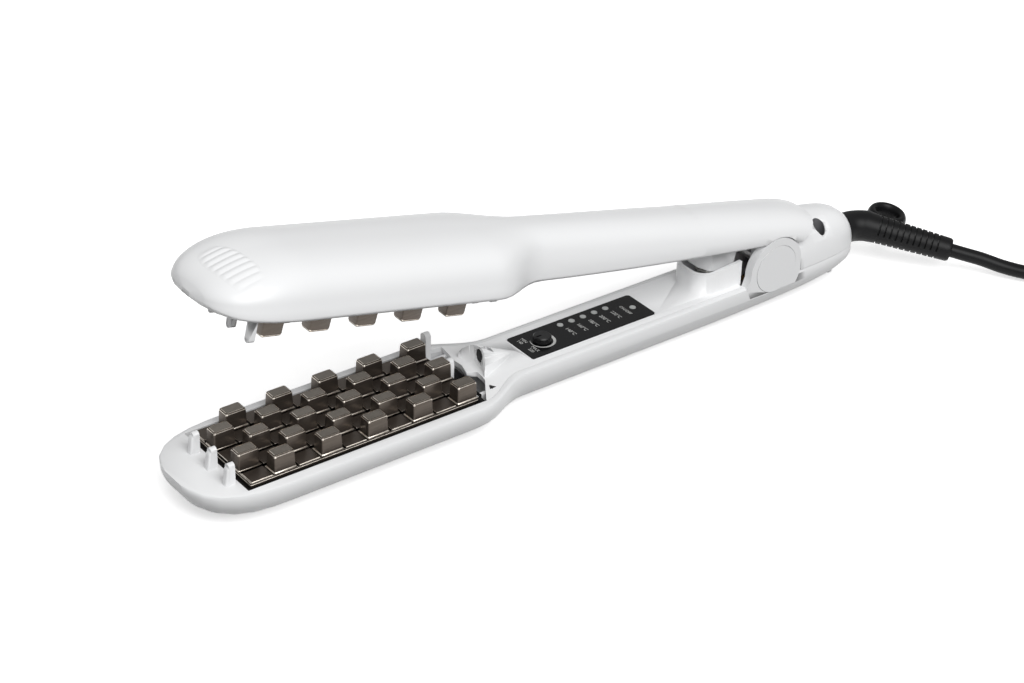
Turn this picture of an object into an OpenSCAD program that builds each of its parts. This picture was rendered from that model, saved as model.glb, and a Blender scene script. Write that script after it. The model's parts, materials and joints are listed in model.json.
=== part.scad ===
// Hair crimper with two hinged arms and studded heating plates.
// Lengths in mm. +X runs from the nose to the tail, +Y to the far side, +Z up.
// The origin is on the table, under the middle of the casing.
// The upper arm is drawn shut and then turned open about the hinge.

/* [Casing] */
// Width of the head across its rim
head_w = 47.4; // [46:0.2:52]
// Width of the handle
handle_w = 27.2; // [26.6:0.2:30]
// Depth of each arm behind its rim
arm_depth = 15; // [14.5:0.5:18]
// Wall of the casings
wall = 2; // [1.6:0.1:2.4]
// Width of the rim round the inner covers
rim_band = 2.6; // [2.4:0.1:3.2]
// Thickness of the inner covers
cover_t = 1.8; // [1.5:0.1:2.2]
// Radius of the rim's outer edge
rim_r = 1.3; // [0.8:0.1:1.8]
// Length of the rounded nose
nose_round = 34; // [28:1:40]
// Nose tip to the edge of the plate recess
nose_margin = 16.1; // [15:0.1:20]
// Length of the neck from head to handle
neck_len = 27; // [24:1:34]
// Length of the grip from the neck to the hinge
grip_len = 112.4; // [110:0.2:130]
// Length of the tail behind the hinge
tail_len = 42.6; // [41:0.2:50]
// Radius of the tail end
tail_r = 8.4; // [8.2:0.1:9.4]
// Height of the tail cover's crest over the rim
tail_crest = 15.8; // [15:0.1:16.8]
// Height of the upper arm's back over its rim
back_h = 17.3; // [16.4:0.1:18.6]
// Rise of the upper handle's edge towards the hinge
handle_arch = 4.6; // [3.6:0.1:5.4]

/* [Heating plates] */
// Studs along one row
stud_cols = 5; // [4:1:6]
// Rows of studs
stud_rows = 5; // [3:2:5]
// Pitch of the studs along a row
stud_pitch = 18; // [17.6:0.1:20]
// Pitch of the rows
row_pitch = 7.4; // [7:0.1:7.8]
// Length of a stud's top
stud_len = 7.6; // [6.8:0.1:7.8]
// Width of a stud's top
stud_wid = 5; // [4.4:0.1:5.4]
// Height of a stud
stud_h = 6.5; // [5.5:0.1:7.5]
// Draft of a stud, each side
stud_draft = 0.22; // [0.1:0.02:0.3]
// Thickness of a plate under its studs
plate_t = 2.2; // [2:0.1:2.6]
// Plate floor above the rim
plate_proud = 0.65; // [0.4:0.05:1]
// Gap round a plate in its recess
plate_gap = 2.4; // [1.8:0.1:2.8]
// Gap between shut studs and the facing plate
tip_gap = 0.9; // [0.7:0.1:2]
// Width of a heater strip
heater_w = 14; // [10:1:18]
// Thickness of a heater strip
heater_t = 2.2; // [2:0.1:2.4]

/* [Hinge and spring] */
// Angle between the arms at rest
open_angle = 13; // [9:0.1:13.6]
// Radius of the hinge ears
ear_r = 12.2; // [11.6:0.1:12.6]
// Thickness of a hinge ear
ear_t = 3.4; // [3.2:0.1:3.8]
// Radius of the round hinge caps
cap_r = 9.3; // [8:0.1:10]
// Thickness of a hinge cap
cap_t = 1.6; // [1.2:0.1:1.8]
// Radius of the hinge pin
pin_r = 2; // [1.6:0.1:2.4]
// Radial running clearance on the pin
pin_fit = 0.05; // [0.02:0.01:0.1]
// Thickness of the upper arm's hinge cheeks
cheek_t = 2.8; // [2.4:0.1:3.2]
// Width of the spring box
box_w = 18.4; // [17.8:0.2:19.4]
// Length of the spring box
box_len = 19; // [18:0.2:20]
// Height of the spring box wall at its front
box_h = 8; // [7:0.1:8.6]
// Wall of the spring box
box_wall = 1.5; // [1.2:0.1:1.8]
// Outer radius of the arm spring
spring_r = 4.6; // [3.8:0.1:4.8]
// Wire radius of the arm spring
spring_wire = 0.55; // [0.4:0.05:0.7]
// Turns of the arm spring
spring_turns = 7; // [5:1:7]

/* [Controls] */
// Length of the control overlay
overlay_len = 55; // [52:0.5:62]
// Width of the control overlay
overlay_w = 15.8; // [14:0.2:18]
// Radius of the temperature knob
knob_r = 3.3; // [3:0.1:4.2]
// Height of the knob above the overlay
knob_h = 2.2; // [1.6:0.1:3]
// Radius of the indicator lenses
lens_r = 1.15; // [0.9:0.05:1.4]
// Pitch of the indicator lenses
lens_pitch = 5.1; // [4.8:0.1:5.6]
// Length of the circuit board
board_len = 62; // [58:1:64]
// Width of the circuit board
board_w = 16; // [14:0.5:16.5]

/* [Cord and swivel] */
// Radius of the boot's neck in the tail
neck_r = 6; // [5.6:0.1:6.3]
// Radius of the boot where it meets the elbow
boot_r = 5.5; // [5.2:0.1:5.8]
// Radius of the boot at its cord end
boot_end_r = 4.5; // [4:0.1:5]
// Length of the ribbed boot
boot_len = 32.5; // [29:0.5:35]
// Ribs on the boot
boot_ribs = 11; // [8:1:12]
// Radius of the hanging ring's hole
ring_hole_r = 3.9; // [3.4:0.1:4.6]
// Diameter of the mains cord
cord_d = 5.3; // [4.8:0.1:5.6]

/* [Hidden] */
$fn = 48;

// Clearance between pieces that lie side by side
fit = 0.15;
// Clearance between pieces that move past each other
run = 0.4;
// Overlap that joins two shapes of one piece
weld = 0.2;

// ---- places along the casing, measured from the nose tip
stud_base_len = stud_len + 2 * stud_draft;
stud_base_wid = stud_wid + 2 * stud_draft;
plate_len = (stud_cols - 0.5) * stud_pitch + stud_base_len;
plate_w = (stud_rows - 1) * row_pitch + stud_base_wid;
recess_len = plate_len + 2 * plate_gap;
recess_w = plate_w + 2 * plate_gap;
neck_before_recess_end = 3.9;
s_neck = nose_margin + recess_len - neck_before_recess_end;
s_grip = s_neck + neck_len;
s_hinge = s_grip + grip_len;
body_len = s_hinge + tail_len;
x_nose = -body_len / 2;
recess_x0 = x_nose + nose_margin;
recess_x1 = recess_x0 + recess_len;
plate_x0 = recess_x0 + plate_gap;
hinge_x = x_nose + s_hinge;
tail_x = x_nose + body_len;

// ---- heights
rim_z = arm_depth;
arm_gap = 2 * plate_proud + stud_h + tip_gap;
hinge_z = rim_z + arm_gap / 2;
top_rim_z = rim_z + arm_gap;
deck_under_z = rim_z - cover_t;
plate_floor_z = rim_z + plate_proud;
plate_under_z = plate_floor_z - plate_t;
heater_under_z = plate_under_z - heater_t;
insulator_t = 0.5;
insulator_under_z = heater_under_z - insulator_t;
frame_t = 1.3;
spring_room = 1.85;
frame_floor_z = insulator_under_z - spring_room - frame_t;
recess_floor_z = rim_z - 6.9;
flange_z = rim_z - 3.8;
swivel_z = rim_z + 0.65;
crest_z = top_rim_z + back_h;

// ---- outline of the casing
head_hw = head_w / 2;
handle_hw = handle_w / 2;
nose_power = 2.8;
tail_taper_s = s_hinge + 12;
deck_hw = handle_hw - rim_band;
neck_inset = 3.2;

function ease(t) = (1 + cos(180 * min(max(t, 0), 1))) / 2;
function round_end(t, n) = pow(max(1 - pow(max(t, 0), n), 0), 1 / n);

// Half width of the casing at s, the distance from the nose tip
function half_w(s) =
    s < nose_round ? head_hw * round_end(1 - max(s, 0.25) / nose_round, nose_power) :
    s < s_neck ? head_hw :
    s < s_grip ? handle_hw + (head_hw - handle_hw) * ease((s - s_neck) / neck_len) :
    s < tail_taper_s ? handle_hw :
    tail_r + (handle_hw - tail_r) * round_end((s - tail_taper_s) / (body_len - tail_taper_s), 2);

// Depth of the lower casing under its rim at s
nose_depth_len = 30;
tail_depth_end = tail_r - (swivel_z - rim_z);
tail_rise_s = s_hinge - 36;
function depth(s) =
    s < nose_depth_len ? arm_depth * round_end(1 - max(s, 0.4) / nose_depth_len, 2.4) :
    s < tail_rise_s ? arm_depth :
    tail_depth_end + (arm_depth - tail_depth_end)
        * round_end((s - tail_rise_s) / (body_len - tail_rise_s), 2);

// Rise of the upper arm's lower edge over the upper rim at s
arch_start = s_grip - 5;
function edge_rise(s) =
    s < arch_start ? 0 : handle_arch * pow(min((s - arch_start) / (s_hinge - 10 - arch_start), 1.05), 1.6);

// Height of the upper arm's back over the upper rim at s
arm_end_s = s_hinge + 25.5;
back_drop = 2.6;
function back_height(s) =
    s < nose_round ? back_h * round_end(1 - max(s, 0.6) / nose_round, 2) :
    s < s_neck ? back_h :
    back_h - back_drop * (s - s_neck) / (arm_end_s - s_neck);

// The upper arm ends at a plane through the hinge axis, its back falling towards it
arm_end_round = 19;
arm_end_low = 6;
arm_end_angle = 45;
function arm_half_w(s) = half_w(min(s, s_hinge));
function arm_back(s) =
    s < arm_end_s - arm_end_round ? back_height(s) :
    back_height(s) - arm_end_low * (1 - round_end((s - arm_end_s + arm_end_round) / arm_end_round, 2.2));

// ---- cross sections as rings of [y, z] points
// an odd count of steps leaves a flat strip along the middle of the back
section_steps = 13;
section_power = 2.35;
section_k = 2 / section_power;
section_top = pow(sin(180 * floor(section_steps / 2) / section_steps), section_k);
function power_arc(w, h, z0, dir) = [for (i = [1 : section_steps - 1])
    let (c = cos(180 * i / section_steps))
    [w * sign(c) * pow(abs(c), section_k),
     z0 + dir * h * pow(sin(180 * i / section_steps), section_k) / section_top]];
// Height of a section over its rim at y
function section_height(w, h, y) = h * pow(1 - pow(abs(y) / w, section_power), 1 / section_power);
// A half section that runs from one rim over the back to the other rim
function half_section(w, h, z0, dir, r) =
    let (e = min(r, w * 0.4, h * 0.4))
    concat([[w - e, z0], [w - 0.3 * e, z0 + dir * 0.3 * e], [w, z0 + dir * e]],
        power_arc(w, h - e, z0 + dir * e, dir),
        [[-w, z0 + dir * e], [-w + 0.3 * e, z0 + dir * 0.3 * e], [-w + e, z0]]);

// A solid lofted through rings of one length: rings = [[x, ring], ...]
module loft(rings, dir) {
    n = len(rings[0][1]);
    m = len(rings);
    points = [for (r = rings) for (p = r[1]) [r[0], p[0], p[1]]];
    sides = [for (i = [0 : m - 2]) for (j = [0 : n - 1])
        let (a = i * n + j, b = i * n + (j + 1) % n)
        each [[a, b, b + n], [a, b + n, a + n]]];
    // each end is closed by a fan of triangles from its own middle
    front = [for (j = [0 : n - 1]) [m * n, (j + 1) % n, j]];
    back = [for (j = [0 : n - 1]) [m * n + 1, (m - 1) * n + j, (m - 1) * n + (j + 1) % n]];
    middle = function (r) [r[0], 0, (r[1][0][1] + r[1][floor(n / 2)][1]) / 2];
    faces = concat(sides, front, back);
    polyhedron(points = concat(points, [middle(rings[0]), middle(rings[m - 1])]),
        faces = dir < 0 ? [for (f = faces) [f[2], f[1], f[0]]] : faces);
}

// ---- stations along the casing
nose_stations = [for (i = [0 : 7]) nose_round * (1 - cos(90 * i / 7))];
neck_stations = [for (i = [0 : 7]) s_neck + neck_len * i / 7];
tail_stations = [for (i = [0 : 11]) tail_rise_s + (body_len - tail_rise_s) * sin(90 * i / 11)];
arch_stations = [for (i = [1 : 7]) s_grip + (s_hinge - 10 - s_grip) * i / 7];
arm_end_stations = [for (i = [0 : 6]) arm_end_s - arm_end_round * (1 - sin(75 * i / 6))];

module lower_loft(inset, drop, sink) {
    // inset narrows the sides, drop lowers the top, sink raises the bottom
    s_all = concat(nose_stations, neck_stations, tail_stations);
    s_list = [for (s = s_all) if (s <= body_len) s];
    loft([for (s = s_list)
        let (w = half_w(s) - inset, h = depth(s) - sink - drop)
        [x_nose + s, half_section(max(w, 1), max(h, 0.6), rim_z - drop, -1, drop > 0 ? 0.01 : rim_r)]], 1);
}

// Cavity of the lower casing, kept inside its nose and tail walls
module lower_cavity() {
    inset = rim_band + 1;
    s_list = concat(
        [for (s = nose_stations) if (s > 6) s], neck_stations,
        [for (s = tail_stations) if (s < body_len - 3) s]);
    loft([for (s = s_list)
        let (w = half_w(s) - inset, h = depth(s) - wall - cover_t)
        [x_nose + s + (s < nose_round ? wall : 0),
         half_section(w, h, deck_under_z, -1, 0.01)]], 1);
}

// Plan outline of the inner cover of a handle
deck_x1 = hinge_x - ear_r - 1.4 - fit;
function deck_half(s) = s < s_grip
    ? deck_hw + (recess_w / 2 - deck_hw) * ease((s - s_neck - 3.2) / (neck_len - 6))
    : deck_hw;
module deck_outline(grow) {
    stations = [for (i = [0 : 10]) nose_margin + recess_len
        + (s_grip - nose_margin - recess_len) * i / 10];
    far = [for (s = stations) [x_nose + s, deck_half(s) + grow]];
    near = [for (i = [len(far) - 1 : -1 : 0]) [far[i][0], -far[i][1]]];
    polygon(concat(far, [[deck_x1, deck_hw + grow], [deck_x1, -deck_hw - grow]], near));
}
// Notches in the inner cover's end towards the plate
module deck_notch() {
    translate([recess_x1, 0]) polygon([[-3, 18.4], [0, 18.4], [2.8, 17.4], [7.1, 16.6], [6.4, 11.4],
        [5.5, 7.6], [5.9, 3], [4.5, -2.2], [7.7, -3.6], [7.5, -6.5], [6.9, -9.2], [0, -19.4], [-3, -19.4]]);
}
module opened() {
    translate([hinge_x, 0, hinge_z]) rotate([0, open_angle, 0])
        translate([-hinge_x, 0, -hinge_z]) children();
}
module shut() {
    translate([hinge_x, 0, hinge_z]) rotate([0, -open_angle, 0])
        translate([-hinge_x, 0, -hinge_z]) children();
}
// Turns a piece of the lower arm over into its place on the shut upper arm
module turned_over() {
    translate([0, 0, 2 * hinge_z]) mirror([0, 0, 1]) children();
}
module across(y0, y1) {
    // extrudes an outline drawn as [x, z] from y0 to y1
    translate([0, y1, 0]) rotate([90, 0, 0]) linear_extrude(y1 - y0) children();
}

// ---- comb pegs at the ends of the plates
peg_w = 2.6;
peg_l = 2.2;
peg_h = 7.6;
nose_peg_x = recess_x0 - peg_l / 2 - 1.2;
nose_peg_pitch = 10.9;
nose_pegs_y = [9, 9 - nose_peg_pitch, 9 - 2 * nose_peg_pitch];
rear_peg_x = recess_x1 - 1;
rear_peg_w = 3.2;
far_peg_y = 16;
mid_peg_y = 1.5;
module peg(x, y) {
    // a flat peg with a rounded top
    peg_from(x, y, peg_w, rim_z - weld, rim_z + peg_h);
}
module peg_from(x, y, w, z0, z1) {
    translate([x - peg_l / 2, y - w / 2, z0]) cube([peg_l, w, z1 - z0 - w / 2]);
    translate([x - peg_l / 2, y, z1 - w / 2]) rotate([0, 90, 0])
        cylinder(r = w / 2, h = peg_l, $fn = 32);
}

// ---- hinge
ear_y0 = handle_hw - ear_t;
cap_seat_y = handle_hw - cap_t + 0.1;
pin_len = 2 * cap_seat_y - 2 * fit;
cheek_y1 = ear_y0 - 0.3;
cheek_y0 = cheek_y1 - cheek_t;
cheek_r = 6.6;
module bore(r, y0, y1) {
    translate([hinge_x, y1, hinge_z]) rotate([90, 0, 0]) cylinder(r = r, h = y1 - y0);
}
ear_foot_z = rim_z - 4.6;
ear_outline_front = hinge_x - ear_r - 1.4;
module ear_outline() {
    translate([hinge_x, hinge_z]) circle(r = ear_r, $fn = 64);
    polygon([[ear_outline_front, rim_z - 0.5], [ear_outline_front + 0.6, rim_z + 1.2],
        [hinge_x - ear_r + 0.3, hinge_z], [hinge_x, hinge_z],
        [hinge_x + ear_r, hinge_z], [hinge_x + ear_r, rim_z - 0.5],
        [hinge_x + ear_r - 2, ear_foot_z], [ear_outline_front + 2, ear_foot_z]]);
}
module ear(side) {
    mirror([0, side < 0 ? 1 : 0, 0]) across(ear_y0, handle_hw) intersection() {
        ear_outline();
        translate([hinge_x - 30, ear_foot_z]) square([60, 60]);
    }
}

// ---- bosses inside the lower casing
frame_boss_r = 2.6;
frame_boss_y = 12;
frame_bosses = [for (x = [recess_x0 + 14, recess_x1 - 14]) for (y = [-frame_boss_y, frame_boss_y]) [x, y]];
// a boss ends in the wall, half a millimetre inside the casing
function boss_reach(h) = section_height(head_hw, h, frame_boss_y + frame_boss_r) - 0.5;
board_z = rim_z - 7;
board_t = 1.6;
board_x0 = x_nose + s_grip + 2;
board_bosses = [board_x0 + 6, board_x0 + board_len - 6];
deck_screw_x = board_x0 + board_len + 6.4;
deck_screw_z = 2.2;
deck_post_z = 4.5;
tail_screw_x = hinge_x + 24.8;
tail_screw_y = 8.4;

// ---- lower casing
module lower_shell() {
    color([0.93, 0.93, 0.94])
    difference() {
        union() {
            difference() {
                lower_loft(0, 0, 0);
                lower_cavity();
                // recess of the heating plate
                translate([recess_x0, -recess_w / 2, recess_floor_z])
                    cube([recess_len, recess_w, arm_depth]);
                // seat of the inner cover
                translate([0, 0, deck_under_z]) linear_extrude(cover_t + 1) deck_outline(fit);
                // room between the ears and under the tail cover
                translate([deck_x1 - 1, -ear_y0, deck_under_z - 1])
                    cube([hinge_x + ear_r - deck_x1 + 2, 2 * ear_y0, cover_t + 3]);
                translate([hinge_x + ear_r, 0, deck_under_z - 1]) linear_extrude(cover_t + 3)
                    tail_opening();
            }
            for (side = [-1, 1]) ear(side);
            for (y = nose_pegs_y) peg(nose_peg_x, y);
            for (b = frame_bosses) translate([b[0], b[1], rim_z - boss_reach(arm_depth)])
                cylinder(r = frame_boss_r, h = boss_reach(arm_depth) - rim_z + frame_floor_z - 0.01);
            for (x = board_bosses) translate([x, 0, wall - 0.4])
                cylinder(r = 2.4, h = board_z - wall + 0.4);
            for (side = [-1, 1]) translate([tail_screw_x, side * tail_screw_y, tail_boss_z0])
                cylinder(r = 2.2, h = rim_z - tail_boss_z0);
            translate([deck_screw_x, 0, wall - 0.6]) cylinder(r = 4, h = deck_post_z - 0.1 - wall + 0.6);
            // saddles under the swivel socket
            for (x = [socket_x0 + 2, socket_x1 - 3]) translate([x, -5, wall]) cube([1.6, 10, 8.6]);
        }
        along_x(socket_x0 - 1, socket_r + 0.02, socket_len + 1.2);
        // pin bores and cap seats
        bore(pin_r, -handle_hw - 1, handle_hw + 1);
        for (side = [-1, 1]) mirror([0, side < 0 ? 1 : 0, 0])
            bore(cap_r + fit, cap_seat_y, handle_hw + 1);
        // opening for the swivel neck
        translate([tail_x - 6, 0, swivel_z]) rotate([0, 90, 0]) cylinder(r = neck_r + 0.5, h = 8);
        for (side = [-1, 1]) translate([tail_screw_x, side * tail_screw_y, tail_screw_tip - 0.5])
            cylinder(r = 1.05, h = rim_z);
        // counterbore of the deck screw
        translate([deck_screw_x, 0, -1]) cylinder(r = 2.6, h = deck_screw_z + 1);
        translate([deck_screw_x, 0, -1]) cylinder(r = 1.4, h = 8);
    }
}
tail_boss_z0 = rim_z - 7.7;
module tail_opening() {
    // plan of the open top of the lower tail, relative to the back of the ears
    stations = [for (i = [0 : 6]) (tail_len - ear_r - 3.2) * i / 6];
    far = [for (x = stations) [x, half_w(s_hinge + ear_r + x) - rim_band - 1]];
    near = [for (i = [len(far) - 1 : -1 : 0]) [far[i][0], -far[i][1]]];
    polygon(concat(far, near));
}

// ---- inner cover of the lower handle, with spring box and wire hood
box_x0 = hinge_x - 32.2;
box_round = 7;
box_rise = 1.7;
hood_x0 = recess_x1 + 7.8;
hood_len = 19;
hood_h = 8.2;
hood_hw = 7.8;
hood_scoop_r = 10.4;
hood_bore_r = 2.1;
overlay_x0 = x_nose + s_grip + 5.4;
overlay_t = 0.4;
overlay_seat = 0.25;
overlay_z = rim_z - overlay_seat;
knob_x = overlay_x0 + 9.9;
lens_y = 4.95;
lens_x = [for (i = [0 : 4]) overlay_x0 + 21.7 + i * lens_pitch];
power_lens_x = overlay_x0 + overlay_len - 4.3;
lens_spots = concat([for (x = lens_x) [x, lens_y]], [[power_lens_x, 0]]);
module box_outline(shrink) {
    // plan of the spring box: round front corners, open towards the hinge
    r = box_round - shrink;
    x0 = box_x0 + shrink;
    hw = box_w / 2 - shrink;
    translate([x0 + r, hw - r]) circle(r = r, $fn = 40);
    translate([x0 + r, -hw + r]) circle(r = r, $fn = 40);
    translate([x0, -hw + r]) square([r * 2, 2 * (hw - r)]);
    translate([x0 + r, -hw]) square([box_len - r - shrink + (shrink > 0 ? 3 : 0), 2 * hw]);
}
module hood() {
    // half cone that rises from the cover towards the plate
    hull() {
        across(-0.1, 0.1) polygon([[hood_x0 + hood_len, rim_z - weld],
            [hood_x0 + hood_len - 0.4, rim_z - weld], [hood_x0 + hood_len, rim_z + 0.05]]);
        translate([hood_x0, 0, rim_z - weld]) rotate([90, 0, 90]) linear_extrude(0.6)
            intersection() {
                scale([hood_hw, hood_h + weld]) circle(r = 1, $fn = 40);
                translate([-hood_hw, 0]) square([2 * hood_hw, hood_h + weld]);
            }
    }
}
module lower_deck() {
    wall_x = recess_x1 - 1.7;
    color([0.92, 0.92, 0.93])
    difference() {
        union() {
            difference() {
                union() {
                    translate([0, 0, deck_under_z]) linear_extrude(cover_t) deck_outline(0);
                    hood();
                }
                translate([0, 0, deck_under_z - 1]) linear_extrude(cover_t + 1.01) deck_notch();
                // scoop in the face of the hood, and its bore
                translate([hood_x0 + 3.3 - hood_scoop_r, 0, rim_z]) cylinder(r = hood_scoop_r, h = 12);
                translate([hood_x0 - 1, 0, rim_z + 4]) rotate([0, 90, 0]) cylinder(r = hood_bore_r, h = 9);
                translate([hood_x0 - 1, 0, rim_z + 2.2]) rotate([0, 90, 0]) cylinder(r = 1.5, h = 9);
            }
            // end wall of the plate recess, held by two ribs, with its pegs
            translate([wall_x, -recess_w / 2 + 1.2, recess_floor_z + 0.3])
                cube([1.4, recess_w - 2.4, deck_under_z - recess_floor_z - 0.7]);
            for (y = [-13.5, 13.5]) translate([wall_x, y - 0.8, deck_under_z - 3])
                cube([11, 1.6, 3 + weld]);
            peg_from(rear_peg_x + 0.9, far_peg_y, rear_peg_w, deck_under_z - 2, rim_z + 8.7);
            peg_from(rear_peg_x + 0.4, mid_peg_y, rear_peg_w, deck_under_z - 2, rim_z + 5.6);
            intersection() {
                translate([0, 0, rim_z - weld]) linear_extrude(box_h + box_rise + weld)
                    difference() {
                        box_outline(0);
                        box_outline(box_wall);
                    }
                across(-box_w, box_w) polygon([[box_x0 - 1, rim_z - 1],
                    [box_x0 - 1, rim_z + box_h], [box_x0 + box_len, rim_z + box_h + box_rise],
                    [box_x0 + box_len, rim_z - 1]]);
            }
            // seat of the arm spring
            translate([spring_x, 0, rim_z - weld]) cylinder(r = spring_seat_r, h = weld + 1);
            translate([deck_screw_x, 0, deck_post_z]) difference() {
                cylinder(r = 3, h = deck_under_z - deck_post_z + weld);
                translate([0, 0, -1]) cylinder(r = 1.3, h = deck_under_z - deck_post_z);
            }
        }
        translate([recess_x1 + 6.2, -14.1, deck_under_z - 1]) cylinder(r = 1.3, h = cover_t + 2, $fn = 3);
        // overlay seat and the holes under it
        translate([overlay_x0 - fit, -overlay_w / 2 - fit, overlay_z])
            cube([overlay_len + 2 * fit, overlay_w + 2 * fit, 1]);
        translate([knob_x, 0, deck_under_z - 1]) cylinder(r = knob_shaft_r + 0.5, h = cover_t + 2);
        for (p = lens_spots) translate([p[0], p[1], deck_under_z - 1])
            cylinder(r = lens_r + fit, h = cover_t + 2, $fn = 24);
    }
}

// ---- heating plates
module stud(x, y) {
    // a tapered stud with bevelled top edges
    l0 = stud_base_len / 2;
    w0 = stud_base_wid / 2;
    b = 0.4;
    l1 = l0 - stud_draft * (stud_h - b) / stud_h;
    w1 = w0 - stud_draft * (stud_h - b) / stud_h;
    l2 = l1 - b;
    w2 = w1 - b;
    levels = [[l0, w0, -weld], [l1, w1, stud_h - b], [l2, w2, stud_h]];
    points = [for (v = levels) each [[v[0], v[1], v[2]], [-v[0], v[1], v[2]],
        [-v[0], -v[1], v[2]], [v[0], -v[1], v[2]]]];
    sides = [for (i = [0, 4]) for (j = [0 : 3]) let (k = (j + 1) % 4)
        [i + j, i + j + 4, i + k + 4, i + k]];
    translate([x, y, plate_floor_z])
        polyhedron(points = points, faces = concat(sides, [[0, 1, 2, 3]], [[11, 10, 9, 8]]));
}
// phase 0 starts the middle row half a pitch back, phase 1 starts the others back
module studded_plate(phase) {
    translate([plate_x0, -plate_w / 2, plate_under_z]) cube([plate_len, plate_w, plate_t]);
    for (row = [0 : stud_rows - 1]) for (col = [0 : stud_cols - 1])
        stud(plate_x0 + stud_base_len / 2 + col * stud_pitch
                + ((row + phase) % 2 == 0 ? stud_pitch / 2 : 0),
            (row - (stud_rows - 1) / 2) * row_pitch);
}
module lower_plate() {
    color([0.35, 0.32, 0.29]) studded_plate(0);
}
module upper_plate() {
    color([0.35, 0.32, 0.29]) opened() turned_over() studded_plate(1);
}

// ---- plate frames: trays of heat-proof resin that carry the plates
module plate_frame() {
    // a tray under the plate with a flange that closes the gap round it
    inner = 1.6;
    difference() {
        translate([plate_x0 + 1, -plate_w / 2 + 1.5, frame_floor_z])
            cube([plate_len - 2, plate_w - 3, plate_under_z - frame_floor_z]);
        translate([plate_x0 + 1 + inner, -plate_w / 2 + 1.5 + inner, frame_floor_z + frame_t])
            cube([plate_len - 2 - 2 * inner, plate_w - 3 - 2 * inner, arm_depth]);
        for (x = [recess_x0 + 8, recess_x1 - 8]) translate([x, 0, frame_floor_z - 1])
            cylinder(r = 2.5, h = frame_t + 2);
    }
    difference() {
        translate([recess_x0 + 0.3, -recess_w / 2 + 0.3, flange_z])
            cube([recess_len - 2.4, recess_w - 0.6, 1]);
        translate([plate_x0 + 2, -plate_w / 2 + 2.5, flange_z - 1])
            cube([plate_len - 4, plate_w - 5, 3]);
    }
}
module lower_plate_frame() {
    color([0.85, 0.84, 0.8]) plate_frame();
}
module upper_plate_frame() {
    color([0.85, 0.84, 0.8]) opened() turned_over() plate_frame();
}

// ---- heaters, insulation and the springs that press them on
heater_margin = 9;
leaf_margin = 10;
heater_len = plate_len - 2 * heater_margin;
heater_x0 = plate_x0 + heater_margin;
module heater() {
    // an aluminium sleeve with two crimped ends and its lead tabs
    translate([heater_x0, -heater_w / 2, heater_under_z]) cube([heater_len, heater_w, heater_t]);
    for (side = [-1, 1]) translate([heater_x0 + heater_len - weld, side * 3 - 1, heater_under_z + 0.8])
        cube([4 + weld, 2, 0.8]);
}
module insulator() {
    translate([heater_x0 - 1, -heater_w / 2 - 1.5, insulator_under_z])
        cube([heater_len + 2, heater_w + 3, insulator_t]);
}
module heater_spring() {
    // a bowed leaf spring between the tray and the insulation
    z0 = frame_floor_z + frame_t;
    z1 = insulator_under_z;
    t = 0.4;
    span = heater_len - 2 * leaf_margin;
    steps = 12;
    low = [for (i = [0 : steps]) [heater_x0 + leaf_margin + span * i / steps,
        z0 + (z1 - z0 - t) * sin(180 * i / steps)]];
    high = [for (i = [steps : -1 : 0]) [low[i][0], low[i][1] + t]];
    across(-4, 4) polygon(concat(low, high));
}
module lower_heater() {
    color([0.75, 0.76, 0.78]) heater();
}
module lower_insulator() {
    color([0.8, 0.72, 0.5]) insulator();
}
module lower_heater_spring() {
    color([0.7, 0.7, 0.72]) heater_spring();
}
module upper_heater() {
    color([0.75, 0.76, 0.78]) opened() turned_over() heater();
}
module upper_insulator() {
    color([0.8, 0.72, 0.5]) opened() turned_over() insulator();
}
module upper_heater_spring() {
    color([0.7, 0.7, 0.72]) opened() turned_over() heater_spring();
}
// a bead sensor against the plate beside the heater
sensor_y = heater_w / 2 + 3.4;
module sensor(r, l) {
    translate([heater_x0 + heater_len / 2, sensor_y, plate_under_z - r]) rotate([0, 90, 0])
        cylinder(r = r, h = l, center = true, $fn = 24);
}
module lower_thermistor() {
    color([0.2, 0.2, 0.22]) sensor(1.2, 5);
}
module thermal_fuse() {
    color([0.85, 0.8, 0.6]) opened() turned_over() sensor(1.6, 10);
}

// ---- controls
module control_overlay() {
    color([0.06, 0.06, 0.07])
    translate([0, 0, overlay_z]) linear_extrude(overlay_t) difference() {
        translate([overlay_x0, -overlay_w / 2]) union() {
            r = 1.2;
            translate([r, 0]) square([overlay_len - 2 * r, overlay_w]);
            translate([0, r]) square([overlay_len, overlay_w - 2 * r]);
            for (x = [r, overlay_len - r]) for (y = [r, overlay_w - r])
                translate([x, y]) circle(r = r, $fn = 24);
        }
        translate([knob_x, 0]) circle(r = knob_shaft_r + 0.5);
        for (p = lens_spots) translate(p) circle(r = lens_r + fit, $fn = 24);
    }
}
led_top_z = deck_under_z - 0.6;
module indicator_lens(i) {
    color([0.85, 0.86, 0.84])
    translate([lens_spots[i][0], lens_spots[i][1], led_top_z + 0.3])
        cylinder(r = lens_r, h = overlay_z + overlay_t + 0.1 - led_top_z - 0.3, $fn = 24);
}
module indicator_led(i) {
    color([0.95, 0.8, 0.4])
    translate([lens_spots[i][0], lens_spots[i][1], board_z + board_t])
        cylinder(r = 1.5, h = led_top_z - board_z - board_t, $fn = 24);
}
module circuit_board() {
    color([0.1, 0.4, 0.2])
    translate([board_x0, -board_w / 2, board_z]) cube([board_len, board_w, board_t]);
}
module board_parts() {
    // driver, relay, capacitor and terminal block on the near side of the board
    z = board_z + board_t;
    color([0.15, 0.15, 0.17]) {
        translate([overlay_x0 + 18, -6, z]) cube([8, 6, 1.4]);
        translate([overlay_x0 + 30, -7, z]) cube([11, 6.5, 3]);
        translate([overlay_x0 + 43.5, -4.2, z]) cylinder(r = 2, h = 3.2);
        translate([overlay_x0 + 52, -6, z]) cube([5, 3.4, 2.4]);
    }
}
pot_w = 9.5;
pot_h = 2.6;
knob_shaft_r = 1.5;
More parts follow.
